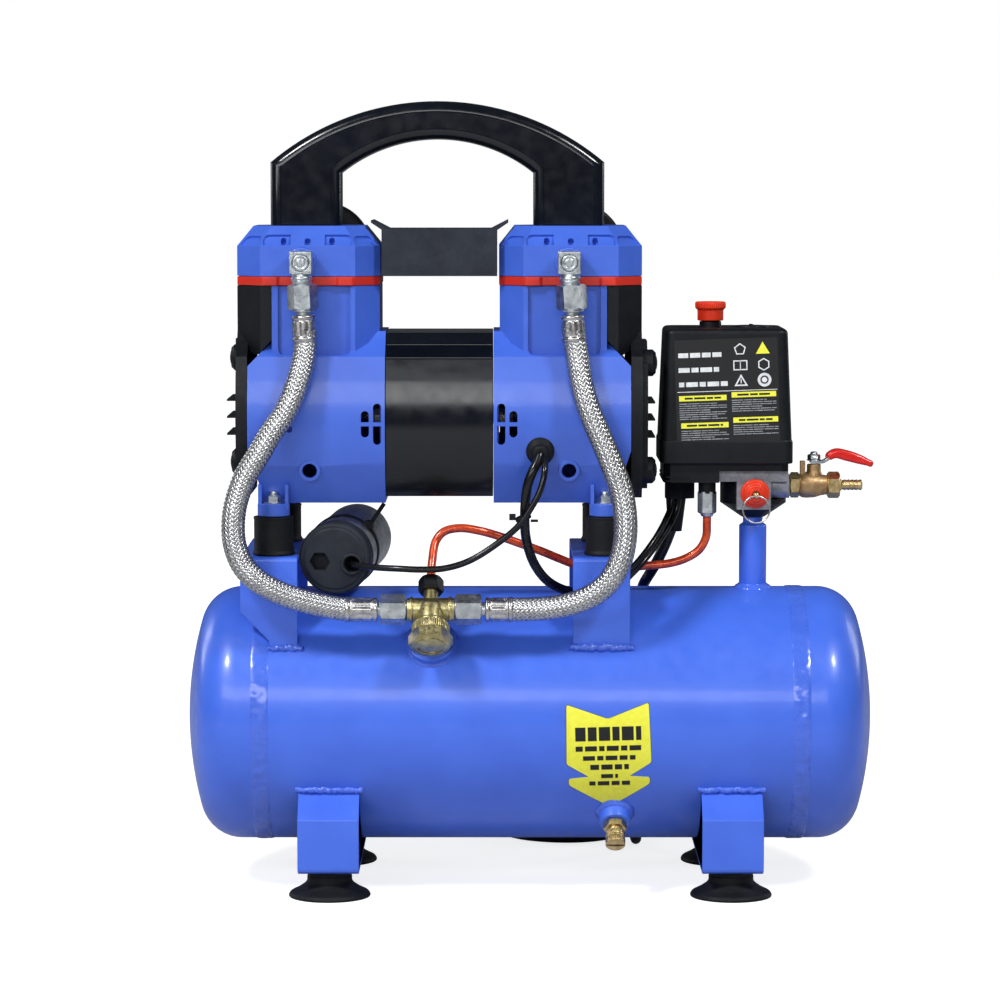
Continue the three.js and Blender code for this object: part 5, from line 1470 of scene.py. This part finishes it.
def make_leads():
    """The motor's grommet, its sheathed lead and two cores, and the capacitor's lead."""
    face = Vector((6, -55.6, 277.3))
    outward = Vector((0, -0.99, -0.136))
    step = lambda d: face + outward * d
    motor = [
        step(-4), step(6), (4.6, -64.4, 272), (1.2, -67, 265.4), (-1.6, -67, 258), (-3.2, -65, 247),
        (-3.6, -61, 235), (-2.4, -55, 221.3), (3, -48, 205.4), (12.5, -40, 193.6), (26.4, -34.6, 187.2),
        (41, -33, 187), (49, -33, 188.6),
    ]
    upper = [
        (46, -34.4, 188.6), (54, -33.6, 192.6), (60, -32.4, 198.2), (66.6, -30.6, 205), (72, -28, 211.2),
        (76.8, -24, 217.2), (81.7, -18, 224), (85.9, -11, 231), (88.8, -6, 237), (90, -4, 243.4),
    ]
    lower = [
        (46, -31.6, 187.6), (57, -31.6, 192.2), (64.1, -30.4, 198.4), (68.9, -28.6, 203.2),
        (74.2, -24, 208.9), (80.1, -17, 215.4), (86.1, -9, 223), (90.4, -4, 230), (93.2, -1.4, 236.6),
        (94.4, -1, 243.4),
    ]
    capacitor = [
        step(0), (8.2, -62, 273.4), (8.6, -68.4, 266), (5.8, -71, 254), (0, -71.6, 243), (-7.1, -71.2, 232.7),
        (-18.8, -69, 222.4), (-37.4, -69, 210.6), (-52.8, -71, 206), (-68.1, -72, 205.3), (-80.5, -70, 205.6),
        (-93.1, -65, 205.7), (-103.4, -58.6, 206), (-109.6, -53.4, 206.5), (-111, -44, 207),
    ]
    cables = add(
        sweep(spline(motor, 2), 3.0, 24), sweep(spline(upper, 2), 1.9, 18), sweep(spline(lower, 2), 1.9, 18),
        sweep(spline(capacitor, 2), 2.0, 20),
        rod(3.5, (45, -33, 188), (51.5, -33, 190.6), 28, edge=0.8),
    )
    finish_piece("motor_lead_cables", cables, MAT["cable"], replaces=["motor_leads"], sharp=50)
    grommet = turned([(0, 0.4), (8.8, 0.4), (8.8, 1.6), (7.2, 3.4), (5.4, 4.2), (5.0, 7.2), (3.9, 8.2),
                      (0, 8.2)], 0.8, 4,
                     step(0), outward, 56)
    finish_piece("lead_grommet", add(grommet, rod(6.5, step(-5), step(1), 40)), MAT["rubber"],
                 sharp=50)
    tie = lathe([(4.3, -1.3), (5.0, -1.3), (5.0, 1.3), (4.3, 1.3)], (-4.6, -68, 237), (0.35, 0.1, -1), 40)
    lock = box(-13.2, -9.2, -70.4, -66.4, 235.6, 239.4)
    tail = box(0, 4.6, -69.6, -67.8, 234.4, 236.0)
    finish_piece("lead_tie", add(tie, lock, tail), MAT["plastic"], bevel=0.25)


# ------------------------------------------------------------------ pressure switch and outlet

def rect_rings(levels, x, y):
    """Rings of a rounded box from (z, half_x, half_y, radius) levels."""
    return [[(a, b, z) for a, b in rounded_rect(x, y, hx, hy, r, 6)] for z, hx, hy, r in levels]


def make_switch_cover():
    """The tapered cover with a rounded top, a button collar, a dial, a sunk window and a stepped skirt."""
    x = SWITCH.x - 18.75
    levels = [(281, 41.0, 34.2, 6)]
    edge = 3.2
    for i in range(8):
        t = i / 7
        levels.append((283.5 + (68.5 - edge) * t, 40.9 - 2.7 * t, 34.1 - 1.1 * t, 6))
    for i in range(1, 7):
        back = edge * (1 - math.cos(math.radians(15 * i)))
        levels.append((352 - edge + edge * math.sin(math.radians(15 * i)), 38.2 - back, 33 - back, 6))
    shell = loft(rect_rings(levels, x, 0))
    hollow = loft(rect_rings([(270, 36, 30.5, 5), (348, 35.5, 30, 5)], x, 0))
    window = prism(rounded_rect(99.2, -12.5, 7.2, 14, 1.5), "z", 349.4, 356)
    dial = lathe([(13.9, 351), (15.3, 351), (15.3, 356), (13.9, 356)], (140, 0, 0), segments=80)
    hole = rod(4.1, (114, 0, 340), (114, 0, 360), 40, edge=0)
    shell = boolean(shell, [hollow, window, dial, hole])
    skirt_levels = [(267.7, 41.0, 34.4, 6), (268.3, 41.6, 35, 6), (281, 41.6, 35, 6), (282.4, 41.1, 34.3, 6)]
    skirt = boolean(loft(rect_rings(skirt_levels, x, 0)),
                    [loft(rect_rings([(260, 39.5, 32.5, 5), (290, 39.5, 32.5, 5)], x, 0))])
    collar = turned([(4.2, 350), (6.9, 350), (6.9, 355.2), (6.5, 355.7), (4.2, 355.7), (4.2, 350)], 0.3, 2,
                    (114, 0, 0), segments=56)
    pointer = add(turned([(0, 351), (11.2, 351), (11.2, 352.6), (10.4, 353), (0, 353)], 0.4, 2, (140, 0, 0),
                         segments=72),
                  box(138.9, 141.1, -8.4, 8.4, 352.8, 353.6))
    finish_piece("switch_cover_shell", shell, MAT["plastic"], replaces=["switch_cover"],
                 bevel=0.35, angle=40)
    finish_piece("switch_cover_trim", add(skirt, collar, pointer), MAT["plastic"],
                 bevel=0.35, angle=40)


def make_switch_base():
    """The tub and round diaphragm housing under the cover, with the cable gland's hexagon."""
    finish_piece("switch_base_moulding", cad_copy("switch_base"), MAT["plastic"],
                 replaces=["switch_base"], bevel=0.5, angle=30)
    lips = []
    for z in (256.2, 258.6):
        lips.append(prism(rounded_rect(SWITCH.x - 18.75, 0, 39.6, 31, 4.4), "z", z, z + 0.9))
    lips = [boolean(lip, [box(100, 175, -45, -4.5, 250, 263)]) for lip in lips]
    finish_piece("switch_base_lips", add(*lips), MAT["plastic"])


def make_knob():
    """The red push knob with its finely knurled flange."""
    profile = rounded([(0, 11.6), (7.6, 11.6), (8.8, 12), (9.7, 11.4), (9.7, 8.2), (9.0, 7.4), (8.2, 6.6),
                       (8.2, 0.4), (7.8, 0), (7.1, 0), (7.1, 4.6), (3.6, 4.6), (3.6, -14), (0, -14)], 0.25, 2)
    knob = lathe(profile, (114, 0, 356), segments=180, flutes=(45, 0.35, 8.0, 11.6))
    finish_piece("switch_knob_red", knob, MAT["red_plastic"], body="power_knob",
                 replaces=["switch_knob"])


LABEL_TILT = 1.9


def label_point(u, v, lift):
    """A point on the cover's front: u to the right and v up from the panel's middle, lift off it."""
    lean = 1.1 / 63
    c, s = on_circle(1, math.radians(LABEL_TILT))
    across, rise = u * c - v * s, v * c + u * s
    return Vector((122.9 + across, -33.55 - lift - lean * (0.6 - rise), 313.4 + rise))


def flat_shape(outline, to, low, high):
    """A thin printed shape on a surface."""
    return loft([[to(u, v, h) for u, v in outline] for h in (low, high)])


def bar(u0, u1, v0, v1):
    """A rectangle's outline."""
    return [(u0, v0), (u1, v0), (u1, v1), (u0, v1)]


def word_bars(u0, u1, v, height, seed, gap=1.1):
    """A line of blocks in place of words."""
    blocks = []
    u = u0
    k = seed
    while u < u1 - 1:
        width = 3.0 + 4.4 * abs(math.sin(1.7 * k + 0.6))
        blocks.append(bar(u, min(u + width, u1), v - height / 2, v + height / 2))
        u += width + gap
        k += 1
    return blocks


def frame_shape(outline, inner, to, low, high):
    """A printed ring between two outlines of the same count."""
    rings = [[to(u, v, h) for u, v in line] for line,
             h in ((outline, low), (outline, high), (inner, high), (inner, low))]
    return loft(rings, caps=False)


def make_label():
    """The printed panel on the cover: word blocks, plain signs and four headed columns of fine lines."""
    panel = flat_shape(rounded(bar(-32.2, 32.2, -32.4, 32.4), 0.8, 3, closed=True), label_point, -0.4, 0.25)
    finish_piece("label_panel", panel, MAT["black"])
    printed = lambda u, v, lift: label_point(u, v + 1.2, lift)
    shape = lambda outline: flat_shape(outline, printed, 0.2, 0.38)
    white = [shape(b) for b in word_bars(-30, -3, 21.6, 2.9, 1)]
    white += [shape(b) for b in word_bars(-30, -4.6, 12.4, 2.9, 4)]
    white += [shape(b) for b in word_bars(-30, 0.4, 3.4, 2.9, 7)]
    white.append(shape(bar(-31.2, 31.2, -1.4, -1.0)))
    ring = lambda x, y, r, n: arc((x, y), r, 90, 450, n)[:-1]
    page = frame_shape(bar(4.2, 13.0, 11.4, 17.6), bar(4.9, 12.3, 12.1, 16.9), printed, 0.2, 0.38)
    white += [page, shape(bar(8.35, 8.85, 11.6, 17.4)), shape(bar(8.5, 9.1, 3.2, 6.0))]
    for x, y, r, n, wall in ((8.6, 24.4, 3.9, 5, 0.7), (8.8, 4.0, 4.9, 3, 0.9), (23.2, 14.6, 4.0, 6, 0.7),
                             (23.4, 5.0, 4.3, 28, 1.4)):
        white.append(frame_shape(ring(x, y, r, n), ring(x, y, r - wall * (2 if n == 3 else 1.2), n), printed,
                                 0.2, 0.38))
    white.append(shape(ring(23.4, 5.0, 1.7, 20)))
    finish_piece("label_white_print", add(*white), MAT["white"])
    yellow = [shape(ring(22.8, 23.8, 5.0, 3))]
    columns = [(-30.2, -0.6, -3.6, 8), (2.6, 30.4, -2.2, 6), (-29.4, 0.2, -20.6, 5), (3.2, 31.2, -18.0, 5)]
    grey = []
    heads = []
    for u0, u1, top, lines in columns:
        yellow.append(shape(bar(u0, u1, top - 3.3, top)))
        heads += [flat_shape(b, printed, 0.3, 0.46) for b in word_bars(u0 + 3.5, u1 - 3.5, top - 1.65, 1.2,
                                                                       u0, 0.8)]
        for k in range(lines):
            end = u1 if k % 3 else u1 - 6 - 3 * (k % 2)
            v = top - 5.0 - 1.36 * k
            grey += [shape(b) for b in word_bars(u0, end, v, 0.5, 3 * k + u0, 0.5)]
    finish_piece("label_yellow_print", add(*yellow), MAT["yellow"])
    finish_piece("label_grey_print", add(*grey), MAT["grey"])
    finish_piece("label_heading_print", add(*heads), MAT["black"])


def sticker_point(u, v, lift):
    """A point on the tank's front: u and v from the arrow's shoulder line, turned a little, lift off it."""
    tilt = math.radians(1.6)
    x = 47.4 + u * math.cos(tilt) - v * math.sin(tilt)
    run = v * math.cos(tilt) + u * math.sin(tilt)
    return on_tank(x, 10.6 + math.degrees(run / TANK_R), TANK_R + lift)


def wrapped(outline, low, high, step=2.5):
    """A flat shape laid on the round tank, cut into narrow strips so that it bends smoothly."""
    bm = bmesh.new()
    bm.faces.new([bm.verts.new((u, v, 0)) for u, v in outline])
    bottom, top = min(v for _, v in outline), max(v for _, v in outline)
    v = bottom + step
    while v < top:
        geometry = bm.verts[:] + bm.edges[:] + bm.faces[:]
        bmesh.ops.bisect_plane(bm, geom=geometry, dist=1e-4, plane_co=(0, v, 0), plane_no=(0, 1, 0))
        v += step
    made = bmesh.ops.extrude_face_region(bm, geom=bm.faces[:])
    raised = {g for g in made["geom"] if isinstance(g, bmesh.types.BMVert)}
    for vert in bm.verts:
        vert.co = sticker_point(vert.co.x, vert.co.y, high if vert in raised else low)
    bmesh.ops.recalc_face_normals(bm, faces=bm.faces)
    return bm


def make_sticker():
    """The yellow arrow on the tank that points at the drain, with blocks in place of its words."""
    half = [(0, -8.2), (25.4, 1.2), (26.2, -36.5), (12.4, -45.6), (25.2, -46.8), (25.0, -51.4), (0, -69.4)]
    left = [(-u, v) for u, v in half[1:-1][::-1]]
    arrow = rounded(half + left, 1.5, 3, closed=True)
    finish_piece("arrow_sticker", wrapped(arrow, -0.3, 0.22), MAT["yellow"], sharp=60)
    edge = [(u * 1.012, -34 + (v + 34) * 1.01) for u, v in arrow]
    finish_piece("arrow_sticker_edge", wrapped(edge, -0.3, 0.12), MAT["black"], sharp=60)
    marks = []
    for u0, u1, v, height, seed in ((-20.4, 20.4, -17.4, 8.6, 2), (-20.4, 20.4, -26.6, 3.2, 5),
                                    (-16, 16.4, -32.8, 2.9, 8), (-11.6, 12.2, -38.9, 3.4, 3),
                                    (-5, 5.4, -45.2, 2.8, 6), (-12.4, 12.8, -50.4, 3.0, 9)):
        marks += [wrapped(b, 0.1, 0.34, 4) for b in word_bars(u0, u1, v, height, seed, 1.4)]
    finish_piece("arrow_sticker_marks", add(*marks), MAT["black"], sharp=60)


def make_manifold():
    """The cast block under the switch, with the outlet's round boss."""
    boss = turned([(0, 4), (7.9, 4), (7.9, 20.8), (7.2, 21.8), (0, 21.8)], 0.8, 3, OUTLET_LINE, (1, 0, 0), 64)
    finish_piece("manifold_casting", add(cad_copy("manifold_block"), boss), MAT["aluminium"],
                 replaces=["manifold_block"], bevel=0.9, segments=3, angle=30)


def make_safety_valve():
    """The red relief valve's ringed nose, its brass pin and the wire ring through the pin."""
    x, z = 141.0, 248.5
    nose = [(2.4, 0), (4.6, 0), (4.6, 9.2), (8.2, 9.2), (9.1, 10), (9.1, 12.6), (8.4, 13.4), (7.7, 13.4),
            (7.4, 14.2), (7.4, 15.8), (6.9, 16.4), (6.3, 16.4), (6.1, 17.2), (6.1, 18.6), (5.6, 19),
            (4.8, 19), (4.5, 20), (4.5, 21.4), (4, 22), (2.4, 22), (2.4, 0)]
    finish_piece("safety_valve_red", turned(nose, 0.25, 2, (x, -16, z), (0, -1, 0), 72), MAT["red_plastic"],
                 replaces=["safety_valve"])
    eye = turned(tube_section(1.1, 2.3, -1.1, 1.1), 0.5, 3, (x, -41, z), (1, 0, 0), 36)
    pin = add(rod(1.9, (x, -20, z), (x, -39.4, z), 32, edge=0.4), eye)
    finish_piece("relief_pin_brass", pin, MAT["brass"], body="relief_pin", replaces=["safety_pin"])
    hoop = [Vector((x + 8.4 * math.cos(a), -41, z - 8.8 + 8.4 * math.sin(a)))
            for a in [math.radians(92 + 374 * k / 90) for k in range(91)]]
    hoop = [p + Vector((0, 0.55 * (1 - 2 * k / 90), 0)) for k, p in enumerate(hoop)]
    finish_piece("relief_ring_wire", sweep(hoop, 0.55, 12), MAT["steel"], body="relief_ring",
                 replaces=["safety_ring"])


def make_ball_valve():
    """The outlet valve: cast body, hexagons, stem gland with its lever stop, and a barbed tail."""
    at = lambda x: OUTLET_LINE + Vector((x, 0, 0))
    up = lambda h: OUTLET_LINE + Vector((37.5, 0, h))
    body = [
        rod(4.1, at(8), at(24)),
        turned([(0, 27.6), (6.2, 27.6), (7.9, 29.6), (8.2, 33), (7.9, 38), (6.6, 42), (6.0, 46.4), (0, 46.4)],
               1.2, 4, OUTLET_LINE, (1, 0, 0), 64),
        turned([(0, 5), (5.4, 5), (4.8, 8), (4.4, 9.4), (4.4, 13.2), (0, 13.2)], 0.5, 3, up(0), (0, 0, 1),
               48),
        box(OUTLET.x + 28.8, OUTLET.x + 31.9, OUTLET.y - 3, OUTLET.y + 3, OUTLET.z + 6, OUTLET.z + 17.5),
    ]
    finish_piece("ball_valve_casting", add(*body), MAT["cast_brass"], replaces=["ball_valve_body"],
                 bevel=0.5, angle=35)
    tail = [(0, 53.4), (3.6, 53.4), (3.6, 54.6)]
    for i in range(5):
        start = 55.4 + 2.4 * i
        tail += [(2.95, start), (3.45, start + 1.9), (3.45, start + 2.2)]
    tail += [(2.8, 68), (2.1, 68), (2.1, 60), (0, 60)]
    fittings = [nut(14.1, at(22.3), at(28.3), 1.1), nut(14.6, at(45.9), at(53.8), 1.2),
                lathe(tail, OUTLET_LINE, (1, 0, 0), 56)]
    finish_piece("ball_valve_turned", add(*fittings), MAT["brass"])


def make_lever():
    """The quarter-turn lever: a plated blade in a dipped grip, held by a nut on the stem."""
    pivot = OUTLET_LINE + Vector((37.5, 0, 13.7))
    top = [(7.6, 2.6), (13.5, 5.4), (20, 4.2), (30, 1.2), (37.2, -1.6)]
    rings = []
    path = spline([(x, 0, z + 0.8) for x, z in top], 0.9)
    steps = len(path) - 1
    for i, (point, side, over, tangent) in enumerate(frames(path)):
        share = i / steps
        swell = min(1.0, share / 0.07 + 0.35, (1 - share) / 0.05 + 0.3)
        leaf = 0.62 + 0.38 * math.sin(math.pi * min(1.0, share * 1.15)) ** 0.7
        half_y, half_z = 4.9 * swell ** 0.7, 3.3 * leaf * swell ** 0.7
        across = Vector((0, 1, 0))
        lift = tangent.cross(across).normalized()
        rings.append([pivot + point + across * a + lift * b for a,
                      b in rounded_rect(0, 0, half_y, half_z, 2.4, 5)])
    finish_piece("lever_grip", loft(rings), MAT["red_vinyl"], body="outlet_lever",
                 replaces=["valve_lever"], sharp=60)
    blade_line = [(-2.6, 0), (5.6, 0), (8.4, 1.4), (12.5, 4.6), (16, 5.4), (16, 7.0), (12, 6.4), (7.4, 3.0),
                  (5, 1.7), (-2.6, 1.7)]
    blade = moved(prism(rounded(blade_line, 0.8, 2, closed=True), "y", -4.2, 4.2), pivot)
    disc = lambda r, low, high: turned(disc_section(r, low, high), 0.3, 2, pivot, (0, 0, 1), 40)
    fixing = add(blade, disc(4.6, 1.7, 2.4),
                 nut(7.2, pivot + Vector((0, 0, 2.4)), pivot + Vector((0, 0, 5.6)), 0.6),
                 turned([(0, 5.4), (2.4, 5.4), (2.4, 6.6), (1.6, 7.4), (0, 7.4)], 0.4, 3, pivot, (0, 0, 1),
                        32))
    finish_piece("lever_blade", fixing, MAT["zinc"], body="outlet_lever", bevel=0.25)


# ------------------------------------------------------------------ the scene

make_camera()
make_mains_lead()
make_studio()
make_tank()
make_welds()
make_brackets()
make_feet()
make_rubber_mounts()
make_drain()
make_housings()
make_motor_cover()
make_heads()
make_valve_plates()
make_handle()
make_link_plate()
make_end_covers()
make_air_filters()
dress_internals()
make_hose("left", LEFT_HOSE, -141.5, -139.7, (-114.3, -94), (-92.7, -76.5))
make_hose("right", RIGHT_HOSE, 23.8, 26.3, (-10.8, -28), (-30.2, -46.5))
make_unloader_tube(make_check_valve())
make_capacitor()
make_leads()
make_switch_cover()
make_switch_base()
make_knob()
make_label()
make_sticker()
make_manifold()
make_safety_valve()
make_ball_valve()
make_lever()
